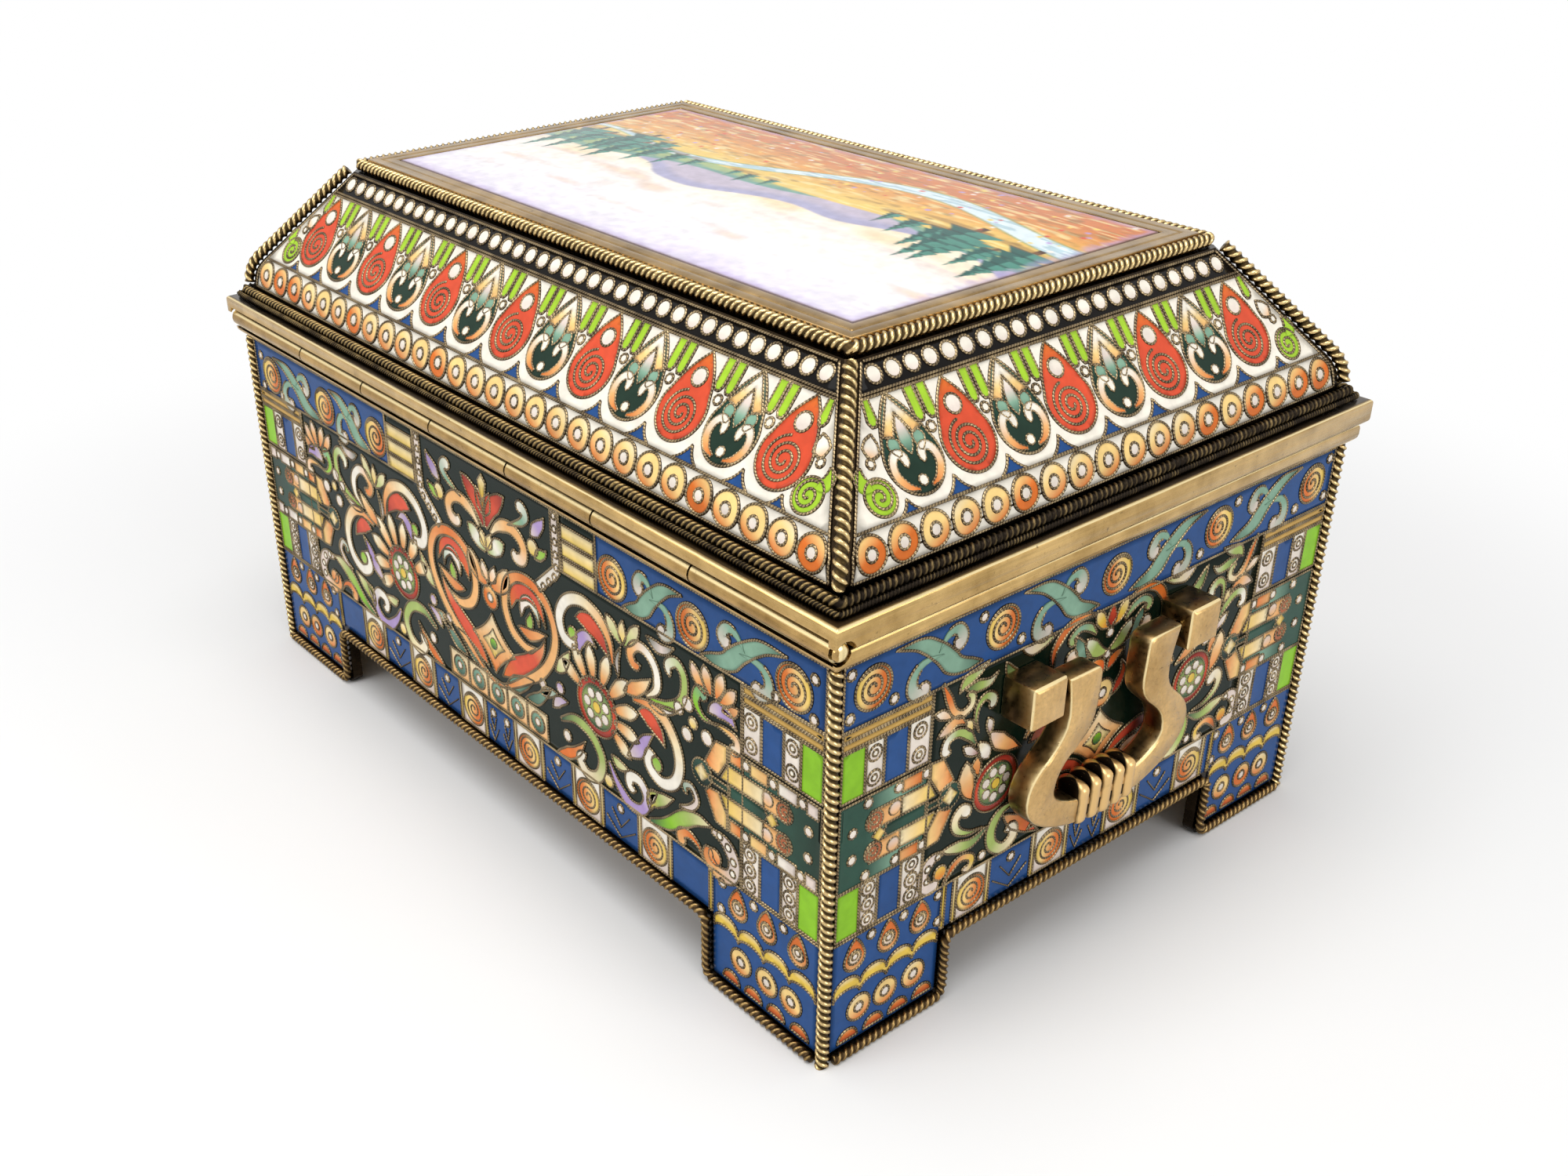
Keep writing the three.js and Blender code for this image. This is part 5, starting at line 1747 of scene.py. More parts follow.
SHORT_DESIGN = Leaf.read("""
    volute 1.3 2 orange orange peach cream leaf: 28.2 44.8, 27.2 42.8, 26.2 40.7, 24.8 39.8, 23.4 40.4,
        23.4 41.6, 24.3 42
    leaf 1.3 2 white peach: 29.2 41.4, 27.8 40.8, 26.3 39.8
    leaf 1.6 2 shell peach orange: 28.6 38.1, 27 38.7, 25.5 39.2, 23.9 38.1
    leaf 1.2 2 cream yellow: 24 38.6, 23.4 37.8, 22.8 36.7
    leaf 1.6 2 leaf leaf shell: 25.5 42.7, 24.5 43.8, 22.9 44.3, 21 45.1
    leaf 1.5 2 pine leaf shell: 24.6 42.8, 22.6 42.5, 20.7 42.3, 19.3 43.2
    comma 1.3 2 pine leaf leaf white: 21.8 36.2, 22.5 38.1, 22.2 39.9, 21 40.6, 19.8 39.8, 20.1 38.6
    volute 1.5 2 pine leaf leaf white white: 22.2 34.8, 23.5 36.5, 25.2 37.5, 26.8 37.2, 27.2 35.8,
        26.2 35.4
    leaf 1.2 2 white shell wine: 20.4 37.5, 20 36.5, 19.9 35
    petal 1.8 3 cream white shell: 21.6 34.6, 20.7 33.5, 19.8 31.9
    leaf 1.3 2 white shell wine: 24.2 35.2, 22.8 34, 21.3 33.1
    leaf 2.8 1 cream peach orange: 23.4 32.9, 23.3 30.8, 22.6 28.5, 21.7 26.9
    leaf 2.3 1 shell peach orange: 19.9 35.4, 18.4 33.8, 16.7 32.5, 14.2 31.1
    leaf 1.7 1 peach orange: 21.5 32.9, 21.7 31.7, 21.1 30
    comma 1.7 2 pine leaf cream white: 19.6 22.3, 22.1 22.6, 24.1 23.8, 24.6 25.4, 23.5 26.4, 22.1 25.2
    petal 1.7 2 pine leaf cream: 19 21.9, 21.5 20.9, 24.2 21.4, 26.5 21.9
    volute 2.1 2 shell shell shell shell: 26.3 21.7, 28 21.5, 29.2 20.2, 29.2 18.5, 28 17.5, 26.6 17.9
    volute 1.3 2 pine orange peach yellow shell: 25.8 17, 24.4 18.8, 22.8 19.4, 21.2 18.6, 21.5 17.4,
        22.7 17.5
    volute 2 2 leaf leaf leaf cream white: 14.6 23.5, 16.7 23.1, 18.1 21.2, 17.8 18.9, 15.9 17.5,
        14.1 18.4, 14.4 19.9, 15.6 19.7
    leaf 2.1 1 peach orange red: 16.2 22.3, 14.2 20.6, 11.9 18.8, 9.4 17.1
    leaf 2 1 orange wine red orange: 12.8 25.2, 9 25.4, 5.7 24.8, 3.4 23.8, 0.7 21.7
    leaf 2.1 1 pine sage leaf: 11.5 18.1, 8.6 19.4, 5.5 19.8, 2.4 18.5
    volute 1.6 2 orange peach peach cream: 9.9 21.7, 8 23.1, 5.7 22.7, 5.1 21, 6.5 20.2, 7.6 21
    volute 1.8 2 peach peach cream white white: 13.6 31.9, 12.1 33.8, 10.3 35, 8.2 34.6, 7.4 32.9,
        8.6 31.7, 9.9 32.5
    leaf 2.3 2 orange red wine: 12.8 31, 10.9 31.9, 9 30.8, 8 29
    leaf 1.5 2 shell cream leaf: 15.7 44.6, 13.8 43.8, 11.7 44, 9.8 44.4
    leaf 1.7 1 pine leaf cream: 18.2 43.8, 16.9 41.7, 15.1 40.6, 12.8 40
    leaf 1.7 1 sage leaf pine: 16.9 37.5, 15.7 39, 13.6 39.2, 11.5 37.9
    petal 1.3 2 peach orange orange wine: 3 44.4, 4.6 44.8, 6.7 44.8, 8.6 43.9, 10 42, 10 39.6
    volute 1.3 2 leaf sage leaf: 2.6 41.8, 4 43.1, 5.7 43.5, 7.1 42.6, 6.5 41.6
    leaf 1.8 1 pine sage pine: 6.1 42.5, 5.4 41, 4.6 39.8, 3 38.8
    petal 1.7 2 orange yellow cream: 0.4 41.9, 1.5 42.7, 2.9 44.8
    petal 2.2 2 leaf leaf white: 0.3 38.5, 1.7 39, 3 40, 4.1 41.5
    leaf 1.7 2 red orange peach: 0.3 35.8, 1.1 36.9, 1.9 37.4, 3.3 37.8
    leaf 1.5 1 wine red orange: 1.5 31.7, 2.8 32.9, 3.6 34.6, 3 36.2
    band 0.45 3 white: 27 21.5
    band 0.45 3 white: 28.6 20.5
    band 0.45 3 white: 28.6 18.8
    band 1 3 orange yellow: 26.5 19
    band 0.6 3 shell white: 19.4 18.1
    band 1 3 peach white: 6.7 40
    band 0.6 3 shell white: 12.7 21.7
    band 0.6 3 shell white: 11.5 36.5
""")


@dataclass
class WallOrnament:
    """The enamel of one wall: corner pilasters, feet, a band of squares and the scrolled field."""

    side: Side
    finishes: Finishes
    face_height: float = 53.0
    rope_clear: float = 1.1
    band_low: float = 44.6
    band_top: float = 52.4
    field_low: float = 16.8
    squares_low: float = 10.45
    foot_low: float = 1.4
    arch_clear: float = 1.35
    pilaster_width: float = 14.4
    beam_middle: float = 29.45
    scallops: int = 4

    def build(self) -> None:
        """Draws the wall and makes its enamel and wires."""
        self.half = half_length(self.side)
        self.outer = self.half - self.rope_clear
        foot = Box.long_foot if self.side.long else Box.short_foot
        self.arch = self.half - foot + self.arch_clear
        extent = (-self.half, 0, self.half, self.face_height)
        self.sheet = Sheet(WallFace(self.side), extent, 10 + self.side.value)
        self.squares()
        if self.side.long:
            self.long_field()
        else:
            self.short_field()
        for self.sheet.hand in (1, -1):
            self.foot()
            self.pilaster()
            if self.side.long:
                self.long_half()
            else:
                self.short_half()
        self.sheet.hand = 1
        name = f"wall_{self.side.label}"
        piece(f"enamel_{name}", self.sheet.cells, self.finishes.enamel, "box")
        piece(f"wires_{name}", self.sheet.wire_cloth(), self.finishes.wire, "box")

    def squares(self) -> None:
        """The band over the arch: white squares with spirals, blue ones with gold lines."""
        sheet, low, high = self.sheet, self.squares_low, self.field_low
        sheet.patch(box(-self.arch, low, self.arch, high), tint(E.BLUE), 0, False, 1.5)
        sheet.wire(np.array([[-self.outer, high], [self.outer, high]]))
        white = ((3.4, 10.5), (17.0, 23.9), (31.1, 37.9)) if self.side.long else ((3.4, 10.3), (17.6, 24.0))
        for sheet.hand in (1, -1):
            blue_from = 0.0
            for p, q in white:
                sheet.patch(box(p + 0.7, low, q - 0.7, high), tint(E.SHELL, E.WHITE), 1)
                for a in (p + 0.35, q - 0.35):
                    sheet.patch(box(a - 0.3, low, a + 0.3, high), tint(E.YELLOW, E.CREAM), 1, True, 0.6)
                spiral_dot(sheet, (p + q) / 2, (low + high) / 2 - 0.2, 2.45, 2)
                middle, spread = (blue_from + p) / 2, (p - blue_from) / 2 - 0.6
                sheet.fine = 0.6
                for lift in (0.0, 1.6):
                    for way in (-1, 1):
                        end = middle + way * spread * (1 - lift / 4)
                        sheet.wire(np.array([[middle, low + lift + 0.4], [end, low + lift + 2.6]]))
                sheet.fine = 1.0
                small_dot(sheet, middle, high - 1.5)
                blue_from = q
        sheet.hand = 1

    def foot(self) -> None:
        """A blue foot: drops, a scalloped ribbon and ringed dots."""
        sheet, half, inner, outer = self.sheet, self.half, self.arch, self.outer
        sheet.patch(box(inner, self.foot_low, outer, self.field_low), tint(E.BLUE), 0, False, 1.2)
        stripe = box(inner - 0.75, self.squares_low, inner - 0.15, self.field_low)
        sheet.patch(stripe, tint(E.YELLOW), 1, True, 0.6)
        for e in (4.4, 9.7, 14.8):
            sheet.patch(drop(half - e, 11.9, 3.2, 4.5), tint(E.PEACH, E.ORANGE, E.ORANGE), 1, True, 0.5)
            sheet.disc(half - e, 13.7, 0.95, tint(E.SHELL, E.APRICOT), 2)
            small_dot(sheet, half - e, 13.8, 0.45, 3)
        for e, b in ((6.9, 15.7), (12.0, 15.7), (17.6, 15.7), (17.8, 11.8)):
            small_dot(sheet, half - e, b)
        for e in (5.4, 9.6, 14.2):
            ringed_dot(sheet, half - e, 5.9, 1.8)
        t = np.linspace(0, math.pi, 12)
        for e in (3.8, 7.9, 11.9, 15.9):
            dome = np.stack([half - e + 1.55 * np.cos(t), 1.9 + 1.5 * np.sin(t)], 1)
            sheet.patch(dome, tint(E.WINE, E.ORANGE, E.PEACH), 1, True, 0.5)
        pitch = (outer - inner - 0.3) / self.scallops
        edges = []
        for low, tall in ((9.5, 1.7), (8.4, 1.1)):
            bump = np.stack([pitch * (0.5 * np.cos(t) - 0.5), low + tall * np.sin(t)], 1)[:-1]
            starts = outer - 0.2 - pitch * np.arange(self.scallops)
            edges.append(np.concatenate([bump + np.array([a, 0]) for a in starts]))
        ribbon = np.concatenate([edges[0], edges[1][::-1]])
        sheet.patch(ribbon, tint(E.APRICOT, E.YELLOW, E.YELLOW, E.CREAM), 1, True, 0.5)

    def pilaster(self) -> None:
        """The corner: stripes, two rows of blocks and a carved beam end between them."""
        sheet = self.sheet

        def block(e0: float, b0: float, e1: float, b1: float, *colours: Enamel) -> None:
            """A four-sided cell between two distances from the wall's edge."""
            sheet.patch(box(self.half - e1, b0, self.half - e0, b1), tint(*colours), 1, True, 0.8)

        ground = box(self.half - self.pilaster_width, self.field_low, self.outer, self.band_low)
        sheet.patch(ground, tint(E.FOREST), 0, False, 1.5)
        for b in (42.2, 43.4):
            block(1.2, b, 14.3, b + 1.0, E.OCHRE)
        for low, high, dots in ((35.7, 41.9, 2), (17.2, 23.7, 3)):
            block(1.2, low, 4.6, high, E.GREEN)
            block(4.75, low, 7.3, high, E.SHELL, E.WHITE)
            block(7.45, low, 10.9, high, E.BLUE)
            block(11.05, low, 14.3, high, E.SHELL, E.WHITE)
            for i in range(dots):
                b = low + (high - low) * (i + 0.5) / dots
                for e in (6.0, 12.7):
                    small_dot(sheet, self.half - e, b, 0.95)
                    sheet.disc(self.half - e, b, 0.4, tint(E.WHITE), 3)
        self.beam_end()

    def beam_end(self) -> None:
        """A carved beam end, pointed inwards, with bars, ringed dots and a yellow tip."""
        sheet, half, mid, long = self.sheet, self.half, self.beam_middle, self.side.long
        reach = 1.9 if long else 0.0

        def shape(points: Sequence[tuple[float, float]], layer: int, *colours: Enamel) -> None:
            """A cell by distances from the wall's edge and above the beam's middle."""
            flat = np.array([[half - e, mid + b] for e, b in points])
            sheet.patch(flat, Tint(colours, (-1.0, 0.0)), layer, True, 0.7)

        ground = (E.MOSS, E.PINE, E.PINE) if long else (E.PINE, E.PINE, E.SAGE, E.PINE)
        shape([(1.2, -5.6), (14.6 + reach, -5.6), (14.6 + reach, 5.7), (1.2, 5.7)], 1, *ground)
        cells = ((10.5, 13.5, E.PEACH, E.ORANGE),)
        dots = (5.35, 9.9, 14.1)
        if long:
            cells = ((1.7, 3.5, E.SHELL, E.SHELL), (5.0, 8.1, E.SHELL, E.WHITE),
                     (9.8, 12.7, E.PEACH, E.APRICOT), (14.2, 16.2, E.ORANGE, E.PEACH))
            dots = (4.25, 9.0, 13.45)
        wing = ((14.8, 5.7), (16.8, 5.5), (18.6, 2.1), (18.0, 1.4), (16.3, 1.2), (14.8, 3.6))
        inset = 5.8 + reach / 3
        eye = half - 6.4 - reach / 3
        for way in (1, -1):
            for start, end, *colours in cells:
                shape([(start, 5.6 * way), (end, 5.6 * way), (end, 3.9 * way), (start, 3.9 * way)],
                      2, *colours)
            for e in dots:
                small_dot(sheet, half - e, mid + 4.8 * way, layer=3)
            shape([(e + reach, b * way) for e, b in wing], 2, E.APRICOT, E.PEACH, E.ORANGE)
            shape([(inset, 0.9 * way), (10.4, 0.9 * way), (10.4, 3.4 * way), (inset, 3.4 * way)], 2,
                  E.ORANGE, E.PEACH, E.PEACH)
            shape([(10.5, 1.1 * way), (15.8 + reach, 1.1 * way), (14.6 + reach, 3.3 * way),
                   (10.5, 3.3 * way)], 3, E.CREAM, E.APRICOT, E.YELLOW)
            sheet.disc(eye, mid + 2.05 * way, 1.25, tint(E.SIENNA), 3)
            sheet.wire(spiral(eye, mid + 2.05 * way, 1.0, 1.4, 0))
            sheet.disc(half - 9.4 - reach / 5, mid + 2.4 * way, 0.85, tint(E.PEACH, E.SHELL), 4)
            small_dot(sheet, half - 3.2, mid + 1.75 * way, layer=3)
        bar = ((8.4, 0.85), (14.2, 0.85), (14.2, -0.85), (8.4, -0.85), (7.9, 0.0))
        shape([(e + reach, b) for e, b in bar], 3, E.MOSS, E.PINE, E.PINE)
        shape([(6.2 + reach, 0), (7.1 + reach, 0.9), (8.0 + reach, 0), (7.1 + reach, -0.9)], 4,
              E.YELLOW, E.APRICOT)
        tip = 18.1 + 1.6 * reach
        shape([(14.2 + reach, 0.4), (tip - 1.2, 0.4), (tip - 1.2, -0.4), (14.2 + reach, -0.4)], 2,
              E.PINE, E.FOREST)
        sheet.disc(half - tip, mid, 1.75, tint(E.FOREST, E.PINE), 3)
        shape([(tip - 1.2, 0), (tip, 1.15), (tip + 1.2, 0), (tip, -1.15)], 4, E.YELLOW, E.CREAM, E.YELLOW)

    def long_field(self) -> None:
        """Grounds and middle motifs of a long wall."""
        sheet, low, high, top = self.sheet, self.field_low, self.band_low, self.band_top
        edge, gable = 51.0, 17.0
        ground = [(-edge, low), (edge, low), (edge, high), (gable, high), (gable, top), (-gable, top),
                  (-gable, high), (-edge, high)]
        sheet.patch(np.array(ground, float), tint(E.FOREST), 0, True, 2.0)
        point = np.array([[-0.9, 50.6], [0, 46.5], [0.9, 50.6], [0, 51.6]])
        sheet.patch(point, tint(E.ORANGE, E.YELLOW, E.CREAM), 3, True, 0.6)
        diamond(sheet, 27.0, 5.2, 4.6)
        ringed_dot(sheet, 0, 34.0, 1.7, 2)
        for a in (-9.6, -4.8, 0.0, 4.8, 9.6):
            sheet.patch(box(a - 2.3, 17.3, a + 2.3, 21.4), tint(E.PEACH, E.CREAM), 1)
            sheet.disc(a, 19.3, 1.5, tint(E.PINE, E.SAGE), 2)
            small_dot(sheet, a, 19.4, layer=3)

    def long_half(self) -> None:
        """One half of a long wall's design."""
        sheet, low, top = self.sheet, self.band_low, self.band_top
        sheet.patch(box(24.4, low, self.outer, top), tint(E.BLUE), 0, True, 1.5)
        sheet.patch(box(17.0, low, 24.4, top), tint(E.FOREST), 0, True, 1.5)
        for b in (44.6, 46.9, 49.2):
            sheet.patch(box(17.4, b, 24.1, b + 1.9), tint(E.YELLOW, E.CREAM), 1, True, 0.8)
        for a in (27.5, 42.3, 59.0):
            spiral_dot(sheet, a, 47.8, 2.75)
        for a, wide in ((35.0, 0.78), (50.8, 1.0)):
            for leaf in ACANTHUS:
                leaf.draw(sheet, a, 47.8, wide)
        for a, b in ((62.1, 50.2), (56.2, 45.4), (62.1, 45.4)):
            small_dot(sheet, a, b)
        border = np.array([[16.0, top - 0.2], [16.0, 44.2], [11.6, 40.3]])
        sheet.scroll(along(border, 0.4), 1.5, Taper.BAND, tint(E.SHELL, E.WHITE))
        for a, b in along(border, 1.75)[:-1]:
            small_dot(sheet, a, b - 0.6, 0.45)
        flower = np.array([23.4, 28.3])
        petals = ((152, 8.0), (124, 8.4), (98, 8.6), (72, 9.0), (46, 9.4), (20, 9.0), (-6, 8.6), (-32, 8.0))
        for turn, reach in petals:
            way = np.array([math.cos(math.radians(turn)), math.sin(math.radians(turn))])
            line = flower + np.array([3.6, reach])[:, None] * way
            sheet.scroll(along(line, 0.3), 2.1, Taper.PETAL, tint(E.ORANGE, E.PEACH, E.CREAM, E.WHITE), 2)
        rosette(sheet, *flower, 4.1)
        for part in LONG_DESIGN:
            part.draw(sheet)

    def short_field(self) -> None:
        """Grounds and middle motifs of a short wall."""
        sheet, low, high, edge = self.sheet, self.field_low, self.band_low, 29.5
        sheet.patch(box(-edge, low, edge, high), tint(E.FOREST), 0, True, 2.0)
        sheet.patch(box(-self.outer, high, self.outer, self.band_top), tint(E.BLUE), 0, True, 1.5)
        spiral_dot(sheet, 0, 48.6, 2.5)
        sheet.patch(drop(0, 41.9, 1.8, 2.8), tint(E.WINE, E.RED), 3, True, 0.5)
        for b in (41.0, 38.1):
            small_dot(sheet, 0, b, layer=3)
        ringed_dot(sheet, 0, 32.7, 1.9)
        diamond(sheet, 26.3, 5.0, 4.2)

    def short_half(self) -> None:
        """One half of a short wall's design."""
        sheet = self.sheet
        for a in (19.2, 38.7):
            spiral_dot(sheet, a, 48.6, 2.6)
        for a in (9.4, 28.9):
            for leaf in ACANTHUS:
                leaf.draw(sheet, a, 48.5, 0.95, 1.05)
        for a, b in ((41.9, 51.2), (41.9, 46.0), (35.6, 46.0), (16.0, 46.0), (22.5, 51.0)):
            small_dot(sheet, a, b)
        rosette(sheet, 18.2, 27.8, 3.7)
        for part in SHORT_DESIGN:
            part.draw(sheet)


@dataclass
class Plaque:
    """The domed plaque on the lid, painted in enamel with a wide meadow under a pale sky."""

    finishes: Finishes
    dome: float = 1.2
    plate: float = 0.9
    grain: float = 0.26
    seed: int = 7
    flowers: int = 150

    def build(self) -> None:
        """Makes the domed plate with its picture."""
        low, high = box_of("plaque")
        self.half = (high - low)[:2] / 2
        self.random = np.random.default_rng(self.seed)
        wide, deep = (2 * self.half / self.grain).astype(int).tolist()
        x, y = (np.linspace(-half, half, count) for half, count in zip(self.half, (wide, deep)))
        self.flat = np.stack(np.meshgrid(x, y), -1).reshape(-1, 2)
        share = self.flat / self.half
        rise = self.dome * (1 - share[:, 0] ** 4) * (1 - share[:, 1] ** 2)
        top = np.concatenate([self.flat, (low[2] + self.plate + rise)[:, None]], 1)
        grid = np.arange(wide * deep).reshape(deep, wide)
        squares = np.stack([grid[:-1, :-1], grid[:-1, 1:], grid[1:, 1:], grid[1:, :-1]], -1)
        faces = squares.reshape(-1, 4).tolist()
        rim = np.concatenate([grid[0], grid[1:, -1], grid[-1, -2::-1], grid[-2:0:-1, 0]]).tolist()
        feet = list(range(len(top), len(top) + len(rim)))
        faces += [list(wall) for wall in zip(rim, feet, feet[1:] + feet[:1], rim[1:] + rim[:1])]
        points = np.concatenate([top, top[rim] * np.array([1, 1, 0]) + low[2] * UP])
        unit = (points[:, :2] + self.half) / (2 * self.half)
        maps = np.concatenate([unit[[i for f in faces for i in f]], np.zeros((len(rim), 2))])
        colours = self.picture()
        cloth = Cloth()
        cloth.add(points, faces + [feet[::-1]], np.concatenate([colours, colours[rim] * 0.4]), maps)
        made = piece("painted_plaque", cloth, self.finishes.enamel, "lid")
        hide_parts("plaque")

    def noise(self, wide: float, tall: float) -> Points:
        """Soft noise between 0 and 1.

        Args:
            wide: size of its patches along the plaque, in mm.
            tall: size of its patches across it.

        Returns:
            A value per place on the plaque.
        """
        place = (self.flat + self.half) / np.array([wide, tall])
        cells = np.ceil(2 * self.half / np.array([wide, tall])).astype(int) + 3
        lattice = self.random.random((cells[1], cells[0]))
        low = np.floor(place).astype(int)
        t = place - low
        t = t * t * (3 - 2 * t)
        i, j = low.T
        near, far = (lattice[row, i] * (1 - t[:, 0]) + lattice[row, i + 1] * t[:, 0] for row in (j, j + 1))
        return near * (1 - t[:, 1]) + far * t[:, 1]

    def lay(self, mask: Points, code: str, share: float = 1.0) -> None:
        """Lays one colour over the picture.

        Args:
            mask: how far it covers each place.
            code: the colour, as sRGB.
            share: how far it covers a place in full.
        """
        cover = np.clip(mask, 0, 1)[:, None] * share
        self.colours = self.colours * (1 - cover) + np.array(linear(code)[:3]) * cover

    def picture(self) -> Points:
        """The picture: its sky to the back, its meadow to the front.

        Returns:
            A linear colour per place.
        """
        x, y = self.flat.T
        fine, soft, broad = (self.noise(*size) for size in ((1.2, 0.7), (9, 4), (22, 9)))
        self.sky(x, y, soft)
        self.land(x, y, fine, broad)
        for tree in self.trees():
            self.fir(x, y, fine, tree)
        for _ in range(self.flowers):
            a = self.random.uniform(-45, 45)
            b = self.random.uniform(-25, -8)
            size = self.random.uniform(0.22, 0.5)
            code = ("#D9452B", "#F7EFE4", "#F2D25A", "#B79BD0")[self.random.integers(4)]
            self.lay((size - np.hypot(x - a, y - b)) * 6, code, 0.95)
        edge = np.minimum(self.half[0] - np.abs(x), self.half[1] - np.abs(y))
        self.lay((1.6 - edge + 1.4 * (fine - 0.5)) * 0.7, "#A893C4", 0.55)
        self.lay((0.35 - edge) * 3, "#75624C", 0.8)
        return self.colours * (0.94 + 0.12 * fine)[:, None]

    def sky(self, x: Points, y: Points, soft: Points) -> None:
        """A pale sky with streaks of cloud over a far ridge.

        Args:
            x: places along the plaque.
            y: places across it.
            soft: soft noise.
        """
        self.colours = blend(y + 4 * (soft - 0.5),
                             ((-3, "#F3DDB2"), (6, "#F7F0E4"), (16, "#F4F1EF"), (25, "#E6E0EE")))
        cloud = self.noise(16, 3.2) * 0.65 + self.noise(6, 1.6) * 0.35
        self.lay((cloud - 0.6) * 4 * (y > 6), "#D9CDE6", 0.55)
        self.lay((cloud - 0.66) * 5 * (y < 18), "#F6CF96", 0.5)
        ridge = 3.4 + 2.6 * np.sin(x / 11 + 1.2) + 1.4 * np.sin(x / 4.7) + 1.5 * (soft - 0.5)
        self.lay((ridge - y) * 2.5, "#A9A6C4")
        self.lay((ridge - 1.6 - y) * 0.7, "#C9BBC6", 0.7)

    def land(self, x: Points, y: Points, fine: Points, broad: Points) -> None:
        """Hills, a meadow and the stream in it.

        Args:
            x: places along the plaque.
            y: places across it.
            fine: fine noise.
            broad: broad noise.
        """
        hill = 0.2 + 2.2 * np.sin(x / 17 - 0.6) + 0.9 * np.sin(x / 5.3 + 2)
        self.lay((hill - y) * 2.5, "#6E9E92")
        self.lay((hill - 1.2 - y + fine) * 0.8, "#A8B877", 0.85)
        meadow = -3.4 + 1.3 * np.sin(x / 14 + 2.4)
        self.lay((meadow - y) * 2.5, "#EBC768")
        self.lay((meadow - 2.5 - y) * 0.25 * (0.4 + broad), "#E29A45", 0.9)
        self.lay((meadow - 9 - y) * 0.16, "#C9692F", 0.8)
        self.lay((self.noise(2.6, 0.5) - 0.6) * 4 * (y < meadow - 0.6), "#F8E3A0", 0.7)
        self.lay((self.noise(2.2, 0.6) - 0.66) * 5 * (y < meadow - 3), "#8F6A2E", 0.6)
        bank = np.abs(y - (-9.5 + 4.2 * np.sin(x / 10.5) + 0.09 * x)) - (1.6 - 0.02 * x) * 0.8
        self.lay((0.35 - bank) * 3, "#7F9C5A", 0.8)
        self.lay((0.0 - bank) * 3, "#DDEBEF")
        self.lay((0.0 - bank) * 3 * (self.noise(3, 0.4) > 0.55), "#8FB7C4", 0.6)

    def fir(self, x: Points, y: Points, fine: Points, tree: tuple[float, float, float]) -> None:
        """One fir with its trunk and its shadow on the grass.

        Args:
            x: places along the plaque.
            y: places across it.
            fine: fine noise.
            tree: its place, the height of its foot and its own height.
        """
        middle, foot, tall = tree
        beside, t = x - middle, (y - foot) / tall
        saw = (t * 6.5) % 1
        half = tall * 0.27 * (1 - t) * (1.1 - 0.45 * saw)
        crown = (half - np.abs(beside)) * 5 * (t > 0) * (t < 1)
        self.lay(crown, "#1F5A52")
        self.lay(crown * (beside < 0.1 * tall * (fine - 0.4)), "#4E9482", 0.75)
        self.lay(crown * (saw > 0.72), "#123C38", 0.6)
        self.lay((0.048 * tall - np.abs(beside)) * 4 * (t > -0.12) * (t <= 0), "#4A2F1E")
        shade = 1 - ((beside - 0.25 * tall) / (0.45 * tall)) ** 2 - ((y - foot + 0.35) / 0.8) ** 2
        self.lay(shade * 1.5, "#8A5A2A", 0.55)

    def trees(self) -> list[tuple[float, float, float]]:
        """Firs from back to front.

        Returns:
            For each its place, the height of its foot and its own height.
        """
        spots = [(-40, -3.5, 9), (-36, -4.2, 12), (-31.5, -4.6, 10), (-27, -4.4, 7), (-43.5, -6.5, 14),
                 (-34, -7, 15), (-23, -4.6, 5), (14, -3.4, 5), (18, -3.6, 7), (22.5, -4, 9), (28, -4.4, 12),
                 (33, -4.8, 10), (37.5, -5, 13), (42, -6.4, 15), (31, -8, 14), (25, -6.8, 9), (-1, -3.8, 4),
                 (3, -3.7, 5), (6, -3.6, 3.5)]
        return sorted(spots, key=lambda spot: -spot[1])


def blend(place: Points, marks: Sequence[tuple[float, str]]) -> Points:
    """Colours run between marks.

    Args:
        place: a value per point.
        marks: values with their sRGB colours, rising.

    Returns:
        A linear colour per point.
    """
    at = [m for m, _ in marks]
    table = np.array([linear(code)[:3] for _, code in marks])
    return np.stack([np.interp(place, at, table[:, c]) for c in range(3)], 1)


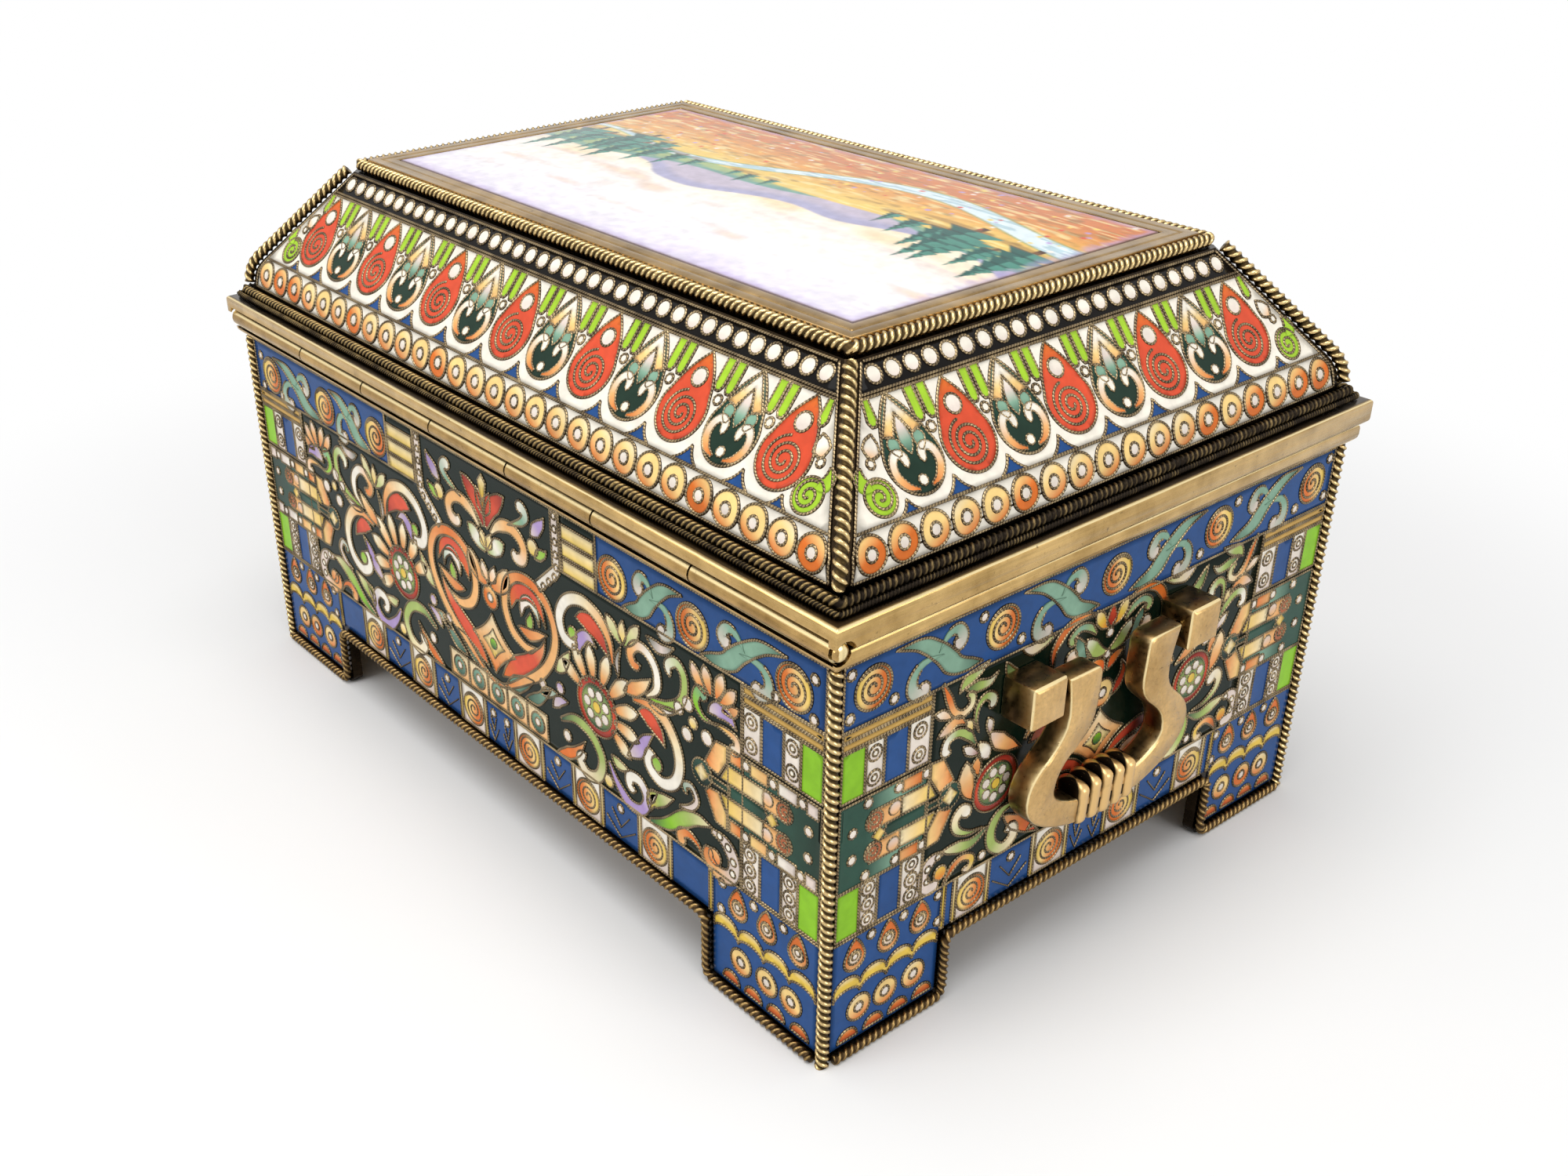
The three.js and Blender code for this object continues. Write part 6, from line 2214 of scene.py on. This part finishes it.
@dataclass
class Bail:
    """A cast handle with five ribs across its grip, in mm from the pins that it swings on."""

    side: Side
    finishes: Finishes
    pivot: tuple[float, float] = (67.8, 39.6)
    lean: float = 2.0
    drop: float = 20.4
    front: float = 0.55
    thick: float = 3.2
    band: float = 3.4
    ribs: int = 5
    pitch: float = 2.15
    tall: float = 6.5
    deep: float = 2.1
    rib_half: float = 1.0
    rib_fall: float = 0.25
    rib_hang: float = 0.4
    bed_proud: float = 0.06
    bed_short: float = 0.1
    ease: float = 0.25
    cast_turn: float = 60.0
    rings: int = 21
    sides: int = 24

    def build(self) -> None:
        """Rounds the ribs, gives their fronts a painted highlight, fills the grooves between them with dark
        bars of painted shade and finishes the casting.
        """
        label = self.side.label
        made = Cloth()
        for i in range(self.ribs):
            place = i - (self.ribs - 1) / 2
            rib = (self.rib_half, self.deep, (self.tall - self.rib_fall * abs(place)) / 2)
            self.bar(made, place * self.pitch, self.tall / 2 - self.rib_hang, rib, True)
            if i < self.ribs - 1:
                # a dark bar in the groove between two ribs: painted shade
                bed = (self.pitch / 2, self.thick / 2 + self.bed_proud, self.band / 2 - self.bed_short)
                self.bar(made, (place + 0.5) * self.pitch, self.band / 2, bed, False)
        piece(f"grip_ribs_{label}", made, self.finishes.grip, f"{label}_handle")
        finish([f"handle_{label}"], self.finishes.cast, self.ease, self.cast_turn)

    def bar(self, made: Cloth, across: float, level: float, half: tuple[float, float, float],
            rib: bool) -> None:
        """One upright bar with round ends.

        Args:
            made: the cloth that it joins.
            across: its middle beside the handle's middle.
            level: its middle above the ring's underside.
            half: half its width, depth and height.
            rib: whether it is a rib with a painted highlight on its crest; a groove's bed is a dark bar of
                painted shade.
        """
        wide, deep, tall = half
        rise = tall * np.sin(np.linspace(-1.5, 1.5, self.rings))
        cap = np.sqrt(1 - np.maximum(0, np.abs(rise) - (tall - wide)) ** 2 / wide ** 2)
        turn = -np.linspace(0, 2 * math.pi, self.sides, endpoint=False)
        flat = np.stack([np.cos(turn), np.sin(turn)], 1)
        flat = np.sign(flat) * np.abs(flat) ** (2 / 3)
        low, high = np.array(box_of(f"handle_{self.side.label}")) @ self.side.right
        beside = (low + high) / 2 + across + wide * np.outer(cap, flat[:, 0])
        out = self.front + deep * np.outer(cap, flat[:, 1])
        up = rise[:, None] + level - self.drop
        lean = math.radians(self.lean)
        outward = self.pivot[0] + out * math.cos(lean) + up * math.sin(lean)
        upward = self.pivot[1] - out * math.sin(lean) + up * math.cos(lean)
        solid = beside[..., None] * self.side.right + outward[..., None] * self.side.out \
            + upward[..., None] * UP
        # painted highlight on each rib's front; the dark bars get none, as painted shade
        crest = np.clip((0.9 - np.abs(flat[:, 0])) / 0.2, 0, 1) * rib
        first = self.rings * len(made.points)
        faces, maps = swept_faces(self.rings, self.sides, False, first, 2 * self.rings, self.ribs)
        made.add(solid.reshape(-1, 3), faces, np.tile(crest, self.rings), maps)


def main() -> None:
    """Builds the casket's looks and reports each piece."""
    logging.basicConfig(level=logging.INFO, format="%(message)s")
    Studio().build()
    finishes = Finishes.make()
    Box(finishes).build()
    Lid(finishes).build()
    Plaque(finishes).build()
    for side in Side:
        LidOrnament(side, finishes).build()
        WallOrnament(side, finishes).build()
    for side in (Side.LEFT, Side.RIGHT):
        Bail(side, finishes).build()


if __name__ == "__main__":
    main()
